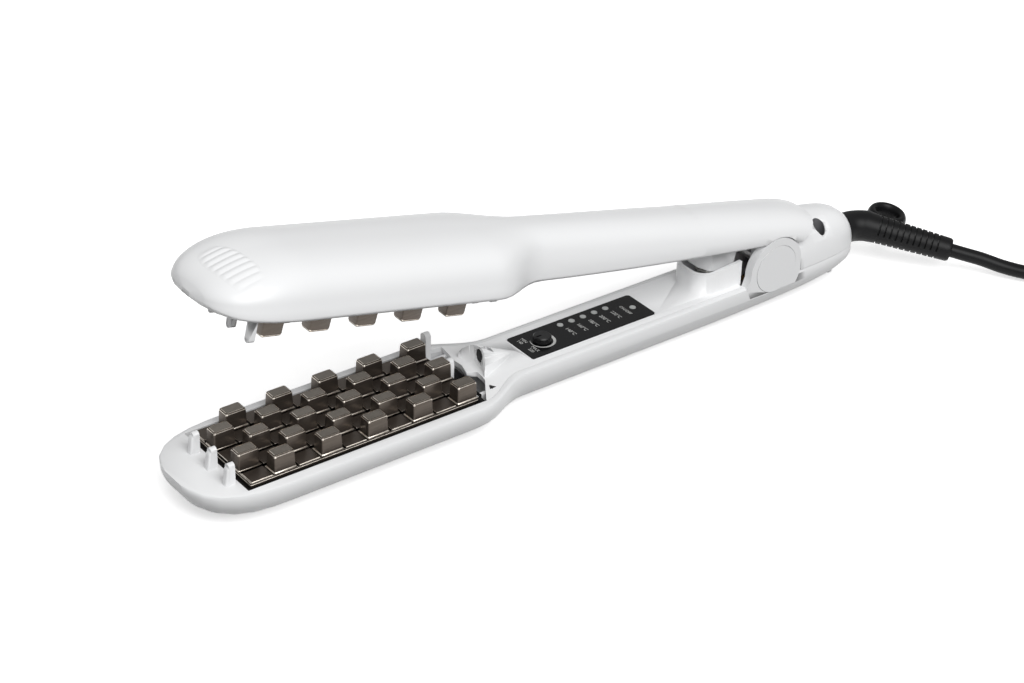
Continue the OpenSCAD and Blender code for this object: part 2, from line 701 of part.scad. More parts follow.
module potentiometer() {
    color([0.3, 0.45, 0.6])
    difference() {
        translate([knob_x - pot_w / 2, -pot_w / 2, board_z + board_t]) cube([pot_w, pot_w, pot_h]);
        translate([knob_x, 0, board_z + board_t + 0.8]) cylinder(r = knob_shaft_r + 0.05, h = pot_h);
    }
}
module knob_shaft() {
    color([0.8, 0.8, 0.78])
    translate([knob_x, 0, board_z + board_t + 0.85])
        cylinder(r = knob_shaft_r, h = rim_z + knob_h * 0.6 - board_z - board_t - 0.85);
}
knob_z0 = overlay_z + overlay_t + 0.25;
module temperature_knob() {
    color([0.05, 0.05, 0.06])
    difference() {
        union() {
            translate([knob_x, 0, knob_z0]) cylinder(r = knob_r, h = knob_h - 0.4);
            translate([knob_x, 0, knob_z0 + knob_h - 0.4 - 0.01])
                cylinder(r1 = knob_r, r2 = knob_r - 0.4, h = 0.4);
        }
        translate([knob_x, 0, knob_z0 - 1]) cylinder(r = knob_shaft_r,
            h = rim_z + knob_h * 0.6 - knob_z0 + 1);
        // pointer slot
        translate([knob_x - knob_r + 0.6, -0.35, knob_z0 + knob_h - 0.35]) cube([2.2, 0.7, 1]);
    }
}

// ---- hinge pin, caps and spring
module hinge_pin() {
    color([0.72, 0.73, 0.75]) bore(pin_r, -pin_len / 2, pin_len / 2);
}
module hinge_cap(side) {
    color([0.93, 0.93, 0.94])
    mirror([0, side < 0 ? 1 : 0, 0])
        bore(cap_r, cap_seat_y, handle_hw + 0.1);
}
spring_x = hinge_x - 22.5;
spring_seat_r = spring_r - 2 * spring_wire - 0.35;
spring_foot_z = rim_z + 0.02;
spring_top_rel = 7;
// top seat of the spring, carried round with the open arm
function turn_open(x, z) = [hinge_x + (x - hinge_x) * cos(open_angle) + (z - hinge_z) * sin(open_angle),
    hinge_z - (x - hinge_x) * sin(open_angle) + (z - hinge_z) * cos(open_angle)];
spring_top = turn_open(spring_x, hinge_z + spring_top_rel);
function cross_unit(a, b) = let (c = cross(a, b)) c / norm(c);
// tube of one radius along a list of points, its rings square to the path
function tube_ring(p, dir, r, sides) =
    let (side = cross_unit(dir, [0, 0, 1]), up = cross(side, dir))
    [for (k = [0 : sides - 1]) p + r * (cos(360 * k / sides) * side + sin(360 * k / sides) * up)];
module tube(path, r, sides) {
    m = len(path);
    dirs = [for (i = [0 : m - 1])
        let (d = path[min(i + 1, m - 1)] - path[max(i - 1, 0)]) d / norm(d)];
    rings = [for (i = [0 : m - 1]) tube_ring(path[i], dirs[i], r, sides)];
    body = [for (i = [0 : m - 2]) for (k = [0 : sides - 1])
        let (a = i * sides + k, b = i * sides + (k + 1) % sides)
        each [[a, b, b + sides], [a, b + sides, a + sides]]];
    start = [for (k = [1 : sides - 2]) [0, k + 1, k]];
    end = [for (k = [1 : sides - 2]) [(m - 1) * sides, (m - 1) * sides + k, (m - 1) * sides + k + 1]];
    polyhedron(points = [for (g = rings) each g], faces = concat(body, start, end));
}
spring_axis_r = spring_r - spring_wire;
spring_rise0 = spring_foot_z + spring_wire;
spring_rings = 8;
module arm_spring() {
    // the coil leans over as the arm's seat swings back
    span = spring_turns * spring_rings;
    z_len = spring_top[1] - spring_wire - 0.8 - spring_rise0;
    color([0.6, 0.61, 0.63])
    tube([for (i = [0 : span])
        let (f = i / span, a = 360 * i / spring_rings)
        [spring_x + (spring_top[0] - spring_x) * f + spring_axis_r * cos(a),
         spring_axis_r * sin(a), spring_rise0 + z_len * f]], spring_wire, 6);
}

// ---- tail cover
tail_crest_s = s_hinge + 13;
function tail_back(s) = s < tail_crest_s ? tail_crest :
    let (end = tail_r + swivel_z - rim_z)
    end + (tail_crest - end) * round_end((s - tail_crest_s) / (body_len - tail_crest_s), 2);
module tail_loft(inset, drop, s0, s1) {
    count = 9;
    stations = [for (i = [0 : count]) s0 + (s1 - s0) * sin(90 * i / count)];
    loft([for (s = stations)
        [x_nose + s, half_section(half_w(s) - inset, tail_back(s) - drop, rim_z, 1, 0.01)]], -1);
}
// Section of the upper arm near the hinge, drawn in to lie under the arm's own wall
module arm_core(shrink) {
    stations = [for (i = [0 : 5]) s_hinge + 2 + 20 * i / 5];
    loft([for (s = stations)
        let (low = hinge_z)
        [x_nose + s, half_section(handle_hw - shrink, top_rim_z + arm_back(s) - shrink - low, low, 1, 0.01)]], -1);
}
// A wedge about the hinge axis between two angles over the +X direction
module hinge_wedge(a0, a1, r) {
    across(-30, 30) translate([hinge_x, hinge_z])
        polygon([[0, 0], [r * cos(a0), r * sin(a0)], [1.06 * r * cos((a0 + a1) / 2), 1.06 * r * sin((a0 + a1) / 2)],
            [r * cos(a1), r * sin(a1)]]);
}
step_angle = arm_end_angle - open_angle;
step_gap = 1;
dome_angle = arm_end_angle + 4;
module tail_cover() {
    color([0.93, 0.93, 0.94])
    difference() {
        union() {
            // the part behind the arm
            difference() {
                tail_loft(0, 0, s_hinge + 8, body_len);
                hinge_wedge(step_angle - step_gap, 120, 60);
            }
            // the dome that the arm's end slides over
            intersection() {
                opened() arm_core(wall + 0.6);
                hinge_wedge(step_angle - step_gap - 8, dome_angle, 60);
            }
        }
        // hollow
        difference() {
            tail_loft(wall + 0.4, wall + 0.2, s_hinge + 7, body_len - 3.2);
            hinge_wedge(step_angle - step_gap - 4, 120, 60);
        }
        intersection() {
            opened() arm_core(2 * wall + 0.8);
            hinge_wedge(-20, 120, 60);
        }
        // room for the arm's cheeks and round the hinge ears
        bore(cheek_r + run, -20, 20);
        for (side = [-1, 1]) mirror([0, side < 0 ? 1 : 0, 0])
            bore(ear_r + fit, ear_y0 - 0.3, handle_hw + 2);
        translate([hinge_x, -20, rim_z - 1]) cube([ear_r + 0.4, 40, hinge_z - rim_z + 1]);
        translate([tail_x - 6, 0, swivel_z]) rotate([0, 90, 0]) cylinder(r = neck_r + 0.5, h = 8);
        along_x(socket_x0 - 1, socket_r + fit, socket_len + 3);
        // screw pockets in the flanks
        for (side = [-1, 1]) translate([tail_screw_x, side * tail_screw_y, rim_z])
            translate([0, 0, tail_post_h + 0.01]) cylinder(r = 2.6, h = 30);
    }
    // posts under the screws
    color([0.93, 0.93, 0.94])
    for (side = [-1, 1]) translate([tail_screw_x, side * tail_screw_y, rim_z + 0.05]) difference() {
        cylinder(r = 3.2, h = 11);
        translate([0, 0, -1]) cylinder(r = 1.3, h = 30);
        translate([0, 0, tail_post_h]) cylinder(r = 2.6, h = 30);
        translate([-tail_screw_x, -side * tail_screw_y, -rim_z - 0.05])
            along_x(socket_x0 - 1, socket_r + fit, socket_len + 3);
        difference() {
            translate([-9, side > 0 ? -9 : -9, -1]) cube([18, 18, 16]);
            translate([-tail_screw_x, -side * tail_screw_y, -rim_z]) tail_loft(0.4, 0.4, s_hinge + 8, body_len);
        }
    }
}
tail_post_h = 4.4;
tail_screw_len = 9;
tail_screw_tip = rim_z + 0.06 + tail_post_h - tail_screw_len;
module screw(len, head_r, r) {
    // pan head with a cross recess, its shank pointing down
    difference() {
        union() {
            translate([0, 0, -len]) cylinder(r = r, h = len + 0.1, $fn = 24);
            cylinder(r = head_r, h = 1.6, $fn = 32);
        }
        for (a = [0, 90]) rotate(a) translate([-head_r * 0.6, -0.3, 0.9]) cube([head_r * 1.2, 0.6, 2]);
    }
}
module tail_screw(side) {
    color([0.6, 0.61, 0.63])
    translate([tail_screw_x, side * tail_screw_y, rim_z + 0.06 + tail_post_h]) screw(tail_screw_len, 2.2, 1);
}
module deck_screw() {
    // driven up from the back of the lower casing into the inner cover's post
    color([0.6, 0.61, 0.63])
    translate([deck_screw_x, 0, deck_screw_z]) mirror([0, 0, 1]) screw(8, 2.2, 1.25);
}

// ---- swivel joint of the cord in the tail
socket_len = 17;
socket_r = 7;
socket_x1 = tail_x - 3.6;
socket_x0 = socket_x1 - socket_len;
journal_r = 4.4;
journal_fit = 0.05;
flange_r = 5.6;
core_x0 = socket_x0 + 2;
core_len = 3;
module along_x(x, r, h) {
    translate([x, 0, swivel_z]) rotate([0, 90, 0]) cylinder(r = r, h = h);
}
module swivel_socket() {
    color([0.88, 0.88, 0.87])
    difference() {
        along_x(socket_x0, socket_r, socket_len);
        along_x(socket_x0 + 1.6, flange_r + 0.3, core_len + 1.2);
        along_x(socket_x0 + 5, journal_r + journal_fit, socket_len);
        translate([socket_x0 - 1, -2.4, swivel_z - 1]) cube([4, 4.8, 2]);
    }
}
module slip_ring_core() {
    // a brass collar that turns with the boot
    color([0.8, 0.65, 0.3]) along_x(core_x0 + 0.4, flange_r, core_len);
}
module contact_spring(side) {
    color([0.8, 0.65, 0.3])
    translate([socket_x0 - 3, side * 1.4 - 0.5, swivel_z - 0.4]) cube([core_x0 - socket_x0 + 3.3, 1, 0.8]);
}
module mains_lead(side) {
    // a lead from a contact to the board
    x1 = socket_x0 - 3.1;
    x0 = board_x0 + board_len + 0.2;
    color([0.75, 0.3, 0.2])
    tube([[x0, side * 5, board_z + 0.8], [x0 + 4, side * 5.2, board_z + 0.4],
        [x0 + 10, side * 5.4, 7.4], [hinge_x - 8, side * 5, 6.4], [hinge_x, side * 5, 6.2],
        [hinge_x + 8, side * 4, 8], [x1 - 4, side * 2, 13], [x1 - 1.5, side * 1.4, swivel_z],
        [x1, side * 1.4, swivel_z]], 0.8, 8);
}

// ---- cord boot with its elbow and hanging ring
exit_x = tail_x + 4.5;
elbow_r = 11;
elbow_turn = 47.5;
boot_fall = 11;
elbow_exit = [exit_x + elbow_r * sin(elbow_turn), -elbow_r * (1 - cos(elbow_turn)), swivel_z];
boot_dir = [cos(elbow_turn) * cos(boot_fall), -sin(elbow_turn) * cos(boot_fall), -sin(boot_fall)];
boot_end = elbow_exit + boot_dir * boot_len;
rib_start = 4.5;
rib_pitch = (boot_len - rib_start - 3) / boot_ribs;
rib_depth = 0.9;
ring_r = 7.7;
ring_t = 4.6;
ring_along = 6.5;
ring_off = 9.1;
ring_up = -0.3;
module boot_frame() {
    translate(elbow_exit) rotate([0, 0, -elbow_turn]) rotate([0, 90 + boot_fall, 0]) children();
}
// Half outline of the boot along its own axis, with a groove between each two ribs
function boot_radius(z) = boot_r - (boot_r - boot_end_r) * z / boot_len;
boot_outline = concat([[0, -1], [boot_r, -1]],
    [for (i = [0 : boot_ribs - 1]) let (z = rib_start + i * rib_pitch, g = rib_pitch * 0.32)
        each [[boot_radius(z), z], [boot_radius(z) - rib_depth, z + 0.15],
            [boot_radius(z) - rib_depth, z + g], [boot_radius(z), z + g + 0.15]]],
    [[boot_radius(boot_len), boot_len], [0, boot_len]]);
module ring_place() {
    boot_frame() translate([-ring_up, ring_off, ring_along]) rotate([0, 90, 0]) children();
}
module swivel_boot() {
    color([0.05, 0.05, 0.05])
    difference() {
        union() {
            along_x(core_x0 + 0.4 + core_len, journal_r, tail_x - 3 - core_x0 - 0.4 - core_len);
            along_x(tail_x - 3.2, neck_r, exit_x - tail_x + 3.3);
            translate([exit_x, -elbow_r, swivel_z]) rotate([0, 0, 90 - elbow_turn])
                rotate_extrude(angle = elbow_turn) translate([elbow_r, 0]) circle(r = neck_r - 0.1);
            translate(elbow_exit) sphere(r = neck_r - 0.15);
            boot_frame() rotate_extrude() polygon(boot_outline);
            // hanging ring on the outside of the elbow
            ring_place() cylinder(r = ring_r, h = ring_t, center = true);
        }
        ring_place() cylinder(r = ring_hole_r, h = ring_t + 8, center = true);
    }
}

// ---- upper casing, drawn shut
module upper_loft_outer() {
    s_list = concat(nose_stations, neck_stations, arch_stations,
        [for (s = arm_end_stations) s]);
    loft([for (s = s_list)
        let (low = top_rim_z + edge_rise(s))
        [x_nose + s, half_section(arm_half_w(s), top_rim_z + arm_back(s) - low, low, 1, rim_r)]], -1);
}
module upper_cavity() {
    inset = rim_band + 1;
    s_list = concat([for (s = nose_stations) if (s > 6) s], neck_stations, arch_stations);
    low = function (s) top_rim_z + edge_rise(s) + cover_t;
    loft([for (s = s_list)
        [x_nose + s + (s < nose_round ? wall : 0),
         half_section(arm_half_w(s) - inset, top_rim_z + arm_back(s) - wall - low(s), low(s), 1, 0.01)]], -1);
    // thinner walls over the tail cover's dome
    loft([for (s = concat([s_hinge - 10.5], [for (s = arm_end_stations) s], [s_hinge + 25]))
        [x_nose + s,
         half_section(arm_half_w(s) - wall, top_rim_z + arm_back(s) - wall - low(s), low(s), 1, 0.01)]], -1);
}
module liner_profile(lift, t, s0, s1) {
    // side profile that follows the arched edge of the upper handle
    steps = 14;
    low = [for (i = [0 : steps]) let (s = s0 + (s1 - s0) * i / steps)
        [x_nose + s, top_rim_z + edge_rise(s) + lift]];
    high = [for (i = [steps : -1 : 0]) [low[i][0], low[i][1] + t]];
    polygon(concat(low, high));
}
liner_s1 = s_hinge - 0.5;
module upper_deck_outline(grow) {
    deck_outline(grow);
    translate([deck_x1 - 1, -cheek_y1]) square([x_nose + liner_s1 - deck_x1 + 1, 2 * cheek_y1]);
}
module upper_shell() {
    color([0.93, 0.93, 0.94])
    opened() difference() {
        union() {
            difference() {
                upper_loft_outer();
                upper_cavity();
                translate([recess_x0, -recess_w / 2, top_rim_z - 1])
                    cube([recess_len, recess_w, arm_depth - recess_floor_z + 1]);
                intersection() {
                    translate([0, 0, top_rim_z - 1]) linear_extrude(20) deck_outline(fit);
                    across(-30, 30) liner_profile(-3, 3 + cover_t, s_neck, s_hinge - 4);
                }
                // open underside between the hinge cheeks
                translate([deck_x1 - 1.2, -cheek_y1 - 0.2, top_rim_z - 6])
                    cube([ear_r + 42, 2 * cheek_y1 + 0.4, edge_rise(s_hinge) + 6 + cover_t + 0.2]);
            }
            turned_over() for (b = frame_bosses) translate([b[0], b[1], rim_z - boss_reach(back_h)])
                cylinder(r = frame_boss_r, h = boss_reach(back_h) - rim_z + frame_floor_z - 0.01);
            for (y = upper_nose_pegs_y) turned_over() peg(nose_peg_x, y);
            // boss of the liner screw
            translate([liner_screw_x, 0, liner_face_z + liner_post_h + 0.1])
                cylinder(r = 3, h = top_rim_z + back_height(liner_screw_s) - wall + 0.4 - liner_face_z - liner_post_h);
        }
        translate([liner_screw_x, 0, liner_face_z]) cylinder(r = 1.3, h = 10.4);
        for (side = [-1, 1]) mirror([0, side < 0 ? 1 : 0, 0])
            bore(ear_r + run, ear_y0 - 0.6, handle_hw + 2);
        // the end plane through the hinge axis
        hinge_wedge(-80, arm_end_angle, 60);
    }
}
upper_nose_pegs_y = [3.6, -7.3, -18.2];
// place across and height of each peg at the tail end of the upper plate
upper_rear_pegs = [[9, peg_h], [-8.8, peg_h], [-17.5, 3]];
liner_screw_s = s_grip + 44;
liner_screw_x = x_nose + liner_screw_s;
liner_face_z = top_rim_z + edge_rise(liner_screw_s) + 0.6;
liner_post_h = 4.4;
cheek_top = edge_rise(s_hinge) + arm_gap / 2 + 0.6;
block_hw = box_w / 2 - box_wall - 1.1;
block_x0 = box_x0 + box_wall + 1.6;
block_len = 13.5;
block_bottom = rim_z + 2.4;
module upper_liner() {
    color([0.9, 0.9, 0.91])
    opened() difference() {
        union() {
            intersection() {
                across(-30, 30) liner_profile(0.6, cover_t - 0.65, nose_margin + recess_len, liner_s1);
                translate([0, 0, top_rim_z - 2]) linear_extrude(30) upper_deck_outline(0);
            }
            for (p = upper_rear_pegs) turned_over() {
                peg_from(rear_peg_x, p[0], peg_w, deck_under_z, rim_z + p[1]);
                translate([recess_x1 - 1, p[0] - peg_w / 2, deck_under_z]) cube([2.4, peg_w, cover_t - 0.8]);
            }
            translate([liner_screw_x, 0, liner_face_z + 0.1]) cylinder(r = 3.6, h = liner_post_h - 0.1);
            // block that dips into the spring box
            difference() {
                translate([block_x0, 0, block_bottom])
                    linear_extrude(top_rim_z + edge_rise(s_hinge - 28) + 1 - block_bottom)
                    polygon([[0, -block_hw + 4], [0, block_hw - 4], [2.2, block_hw],
                        [block_len, block_hw], [block_len, -block_hw], [2.2, -block_hw]]);
                translate([spring_x, 0, block_bottom - 1])
                    cylinder(r = spring_r + 1, h = hinge_z + spring_top_rel - block_bottom + 1);
            }
            // cheeks that turn on the pin
            for (side = [-1, 1]) mirror([0, side < 0 ? 1 : 0, 0]) across(cheek_y0, cheek_y1) {
                translate([hinge_x, hinge_z]) circle(r = cheek_r);
                polygon([[hinge_x - cheek_r, hinge_z], [hinge_x, hinge_z],
                    [hinge_x + 4.6, hinge_z + 4.6], [hinge_x - 0.5, hinge_z + cheek_top],
                    [hinge_x - cheek_r - 4, hinge_z + cheek_top]]);
            }
        }
        bore(pin_r + pin_fit, -cheek_y1 - 1, cheek_y1 + 1);
        // counterbore of the liner screw
        translate([liner_screw_x, 0, liner_face_z - 3]) cylinder(r = 2.6, h = 5.1);
        translate([liner_screw_x, 0, liner_face_z - 3]) cylinder(r = 1.4, h = 12);
    }
}
module liner_screw() {
    // driven up through the liner's recessed post into the upper casing
    color([0.6, 0.61, 0.63])
    opened() translate([liner_screw_x, 0, liner_face_z + 2.1]) mirror([0, 0, 1]) screw(7, 2.2, 1.25);
}

// ---- mains cord
cord_r = cord_d / 2;
coil_pitch = cord_d + 0.45;
coil_turns = 4.1319;
coil_in_r = 20.2;
coil_out_r = coil_in_r + coil_turns * coil_pitch;
coil_c = [285, -34.5];
coil_start_a = 240;
coil_rings = 24;
tie_t = 1;
tie_gap = 0.2;
coil_z = cord_r + tie_t + tie_gap;
function coil_point(turn) =
    let (in_part = min(turn, coil_turns), out_part = max(turn - coil_turns, 0),
        r = coil_out_r - coil_pitch * in_part + coil_pitch * out_part,
        climb = min(max((turn - coil_turns + 0.25) / 0.5, 0), 1),
        a = coil_start_a + 360 * turn)
    [coil_c[0] + r * cos(a), coil_c[1] + r * sin(a), coil_z + coil_pitch * (1 - ease(climb))];
function coil_dir(turn) = let (a = coil_start_a + 360 * turn) [-sin(a), cos(a), 0];
coil_entry = coil_point(0);
// points of the cord from the boot down to the table, and along it to the coil
foot = [198.5, -50.5, coil_z];
foot_dir = [cos(50), -sin(50), 0];
lead_stop = coil_entry - coil_dir(0) * 1.3 * cord_d;
function along_table(t) =
    (2 * t * t * t - 3 * t * t + 1) * foot + (t * t * t - 2 * t * t + t) * 80 * foot_dir
    + (3 * t * t - 2 * t * t * t) * lead_stop + (t * t * t - t * t) * 55 * coil_dir(0);
lead_points = concat([boot_end + boot_dir * 0.8, boot_end + boot_dir * 6, boot_end + boot_dir * 13,
    [192.5, -43, 4.8]], [for (i = [0 : 7]) along_table(i / 7)]);
module cord_lead() {
    color([0.06, 0.06, 0.06]) tube(concat(lead_points, [coil_entry - coil_dir(0) * cord_d]), cord_r, 8);
}
coil_end = coil_point(2 * coil_turns);
coil_steps = ceil(2 * coil_turns * coil_rings);
coil_loops = [for (i = [0 : coil_steps]) coil_point(2 * coil_turns * i / coil_steps)];
coil_path = concat([coil_entry - coil_dir(0) * cord_d], coil_loops,
    [coil_end + coil_dir(2 * coil_turns) * cord_d]);
// Least gap of the coil to itself, between points at least half a turn apart
coil_gap = min([for (i = [0 : coil_steps]) for (j = [i + coil_rings / 2 : coil_steps])
    norm(coil_loops[i] - coil_loops[j])]) - cord_d;
echo(coil_gap = coil_gap);
spring_gap = norm([spring_top[0] - spring_x, spring_top[1] - spring_rise0 - spring_wire]) / spring_turns
    - 2 * spring_wire;
echo(spring_gap = spring_gap);
module cord_coil() {
    color([0.06, 0.06, 0.06]) tube(coil_path, cord_r, 6);
}
// the short free end from the coil to the plug
end_dir = coil_dir(2 * coil_turns);
end_a = atan2(end_dir[1], end_dir[0]);
end_start = coil_end + end_dir * cord_d;
plug_relief = 12;
plug_pin_pitch = 19;
plug_pin_len = 19;
plug_grip_len = 22;
plug_grip_r = 6.5;
plug_z = plug_grip_r + 0.1;
end_len = 21;
end_stop = [end_start[0] + end_dir[0] * end_len, end_start[1] + end_dir[1] * end_len, plug_z];
module cord_end() {
    color([0.06, 0.06, 0.06])
    tube([end_start, end_start + end_dir * 5.5, end_start * 0.55 + end_stop * 0.45,
        [end_stop[0], end_stop[1], plug_z] - end_dir * 5.5, end_stop], cord_r, 8);
}
// a strap round the coil's bundle
tie_a = 100;
tie_w = 9;
module coil_tie() {
    r0 = coil_in_r - cord_r - tie_gap;
    r1 = coil_out_r + cord_r + tie_gap;
    h = 2 * cord_r + coil_pitch + 2 * tie_gap;
    color([0.1, 0.1, 0.1])
    translate([coil_c[0], coil_c[1], 0]) rotate(tie_a) translate([0, tie_w / 2, 0]) rotate([90, 0, 0])
        linear_extrude(tie_w) difference() {
            translate([r0 - tie_t, 0]) square([r1 - r0 + 2 * tie_t, h + 2 * tie_t]);
            translate([r0, tie_t]) square([r1 - r0, h]);
        }
}
module plug_frame() {
    translate(end_stop) rotate([0, 0, end_a]) rotate([0, 90, 0]) children();
}
module plug_body() {
    // a tapered relief and a flat oval grip
    color([0.06, 0.06, 0.06]) plug_frame() {
        translate([0, 0, 0.05]) cylinder(r1 = 3.6, r2 = 5.4, h = plug_relief);
        translate([0, 0, plug_relief - 0.5]) linear_extrude(plug_grip_len) {
            for (side = [-1, 1]) translate([0, side * plug_pin_pitch / 2]) circle(r = plug_grip_r, $fn = 40);
            translate([-plug_grip_r, -plug_pin_pitch / 2]) square([2 * plug_grip_r, plug_pin_pitch]);
        }
    }
}
module plug_pin(side) {
    color([0.75, 0.76, 0.78]) plug_frame()
        translate([0, side * plug_pin_pitch / 2, plug_relief - 0.5 + plug_grip_len])
            cylinder(r = 2.4, h = plug_pin_len);
}

lower_shell();
lower_deck();
lower_plate();
lower_plate_frame();
lower_heater();
lower_insulator();
lower_heater_spring();
lower_thermistor();
control_overlay();
indicator_lens(0);  // indicator_lens_1
indicator_lens(1);  // indicator_lens_2
indicator_lens(2);  // indicator_lens_3
indicator_lens(3);  // indicator_lens_4
indicator_lens(4);  // indicator_lens_5
indicator_lens(5);  // indicator_lens_6
indicator_led(0);  // indicator_led_1
indicator_led(1);  // indicator_led_2
indicator_led(2);  // indicator_led_3
indicator_led(3);  // indicator_led_4
indicator_led(4);  // indicator_led_5
indicator_led(5);  // indicator_led_6
circuit_board();
board_parts();
potentiometer();
temperature_knob();
knob_shaft();
hinge_pin();
hinge_cap(-1);  // near_hinge_cap
hinge_cap(1);  // far_hinge_cap
arm_spring();
tail_cover();
tail_screw(-1);  // near_tail_screw
tail_screw(1);  // far_tail_screw
deck_screw();
swivel_socket();
contact_spring(-1);  // near_contact_spring
contact_spring(1);  // far_contact_spring
slip_ring_core();
swivel_boot();
upper_shell();
upper_liner();
upper_plate();
upper_plate_frame();
upper_heater();
upper_insulator();
upper_heater_spring();
thermal_fuse();
liner_screw();
mains_lead(-1);  // near_mains_lead
mains_lead(1);  // far_mains_lead
cord_lead();
cord_coil();
cord_end();
coil_tie();
plug_body();
plug_pin(-1);  // near_plug_pin
plug_pin(1);  // far_plug_pin
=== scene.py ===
import json
from math import atan2, ceil, cos, exp, pi, radians, sin

import bmesh
import bpy
from mathutils import Matrix, Vector

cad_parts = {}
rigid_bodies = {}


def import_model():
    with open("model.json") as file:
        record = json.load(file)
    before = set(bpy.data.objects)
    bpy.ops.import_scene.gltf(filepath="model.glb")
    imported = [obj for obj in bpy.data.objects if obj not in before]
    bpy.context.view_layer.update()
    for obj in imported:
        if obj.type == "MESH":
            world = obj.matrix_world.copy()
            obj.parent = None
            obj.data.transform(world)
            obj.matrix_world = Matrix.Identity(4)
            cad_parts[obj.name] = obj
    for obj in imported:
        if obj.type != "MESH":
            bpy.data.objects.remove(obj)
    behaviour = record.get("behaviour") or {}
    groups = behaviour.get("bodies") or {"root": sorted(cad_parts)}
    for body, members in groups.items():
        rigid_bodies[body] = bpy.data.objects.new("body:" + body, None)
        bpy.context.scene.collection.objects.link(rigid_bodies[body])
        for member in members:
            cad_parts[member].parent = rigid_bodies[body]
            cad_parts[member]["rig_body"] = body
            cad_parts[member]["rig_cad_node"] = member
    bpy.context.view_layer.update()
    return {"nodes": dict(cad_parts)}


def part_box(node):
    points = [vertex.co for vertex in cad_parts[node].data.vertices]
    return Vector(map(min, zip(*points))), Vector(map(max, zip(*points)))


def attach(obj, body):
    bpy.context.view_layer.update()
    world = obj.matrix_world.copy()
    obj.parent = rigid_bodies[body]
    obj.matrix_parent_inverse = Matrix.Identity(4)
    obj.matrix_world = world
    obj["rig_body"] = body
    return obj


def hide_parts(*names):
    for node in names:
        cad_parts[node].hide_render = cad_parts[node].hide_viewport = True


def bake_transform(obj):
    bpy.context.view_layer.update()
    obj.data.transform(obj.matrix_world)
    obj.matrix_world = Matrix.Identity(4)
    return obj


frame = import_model()
nodes = frame["nodes"]
bpy.ops.object.select_all(action="DESELECT")

# ---- camera
# A long lens looks down on the tool from the near side of its nose.
bpy.ops.object.camera_add(location=(-0.464343, -0.587901, 0.473752),
                          rotation=(radians(58.563234), radians(-1.558823), radians(-36.809360)))
camera = bpy.context.object
camera.name = "camera"
camera.data.sensor_width = 36
camera.data.lens = 88.6133
camera.data.clip_start = 0.05
camera.data.clip_end = 20
bpy.context.scene.camera = camera

# ---- mains cord
# A round two-core lead in black PVC, 1.8 m long. It runs from the boot down to
# the table and along it to a wound coil, and from the coil to the plug.
cord_d = 0.0053
coil_pitch = cord_d + 0.00045
coil_turns = 4.1319
coil_in_r = 0.0202
coil_out_r = coil_in_r + coil_turns * coil_pitch
coil_middle = (0.285, -0.0345)
coil_start = 240
coil_low_z = cord_d / 2 + 0.0012
climb_turns = 0.5
points_per_turn = 36


def between(low, value, high):
    return min(max(value, low), high)


def coil_point(turn):
    """A point of the coil, which winds inwards and then back out one layer higher."""
    inward = min(turn, coil_turns)
    outward = max(turn - coil_turns, 0)
    r = coil_out_r - coil_pitch * inward + coil_pitch * outward
    climb = between(0, (turn - coil_turns + climb_turns / 2) / climb_turns, 1)
    a = radians(coil_start + 360 * turn)
    return Vector((coil_middle[0] + r * cos(a), coil_middle[1] + r * sin(a),
                   coil_low_z + coil_pitch * (1 - cos(pi * climb)) / 2))


def coil_heading(turn):
    a = radians(coil_start + 360 * turn)
    return Vector((-sin(a), cos(a), 0))


tail_end_x = 0.14402
swivel_z = 0.01565
elbow_turn = radians(47.5)
elbow_r = 0.011
elbow_x = tail_end_x + 0.0045
boot_fall = radians(11)
boot_len = 0.0325


def elbow_point(turn):
    """A point of the boot's bend, which starts along X and turns to the near side."""
    return Vector((elbow_x + elbow_r * sin(turn), -elbow_r * (1 - cos(turn)), swivel_z))


elbow_exit = elbow_point(elbow_turn)
boot_way = Vector((cos(elbow_turn) * cos(boot_fall), -sin(elbow_turn) * cos(boot_fall),
                   -sin(boot_fall)))
boot_end = elbow_exit + boot_way * boot_len
foot = Vector((0.1985, -0.0505, coil_low_z))
foot_turn = radians(50)
foot_way = Vector((cos(foot_turn), -sin(foot_turn), 0))
foot_pull, coil_pull = 0.080, 0.055
coil_way = coil_heading(0)
lead_stop = coil_point(0) - coil_way * 1.3 * cord_d


def along_table(t):
    """A point of the lead between its foot on the table and the coil."""
    return ((2 * t ** 3 - 3 * t ** 2 + 1) * foot
            + (t ** 3 - 2 * t ** 2 + t) * foot_pull * foot_way
            + (3 * t ** 2 - 2 * t ** 3) * lead_stop
            + (t ** 3 - t ** 2) * coil_pull * coil_way)


def through(points, steps):
    """A smooth path through every point."""
    ends = [points[0] * 2 - points[1], *points, points[-1] * 2 - points[-2]]
    path = []
    for i in range(1, len(ends) - 2):
        a, b, c, d = ends[i - 1:i + 3]
        for k in range(steps):
            t = k / steps
            path.append(0.5 * ((2 * b) + (c - a) * t + (2 * a - 5 * b + 4 * c - d) * t * t
                               + (3 * b - a - 3 * c + d) * t * t * t))
    path.append(points[-1])
    return path


lead_points = [boot_end + boot_way * 0.0008, boot_end + boot_way * 0.006,
               boot_end + boot_way * 0.013, Vector((0.1925, -0.043, 0.0048)),
               *[along_table(i / 7) for i in range(8)], coil_point(0) - coil_way * cord_d]
last_turn = 2 * coil_turns
coil_count = ceil(last_turn * points_per_turn)
wound = [coil_point(last_turn * i / coil_count) for i in range(coil_count + 1)]
plug_z = 0.0066
free_len, free_straight = 0.021, 0.0055
free_way = coil_heading(last_turn)
free_start = coil_point(last_turn) + free_way * cord_d
free_stop = free_start + free_way * free_len
free_stop.z = plug_z
free_points = [free_start, free_start + free_way * free_straight,
               free_start * 0.55 + free_stop * 0.45,
               free_stop - free_way * free_straight, free_stop]
cord_path = through(lead_points, 5) + wound + through(free_points, 4)


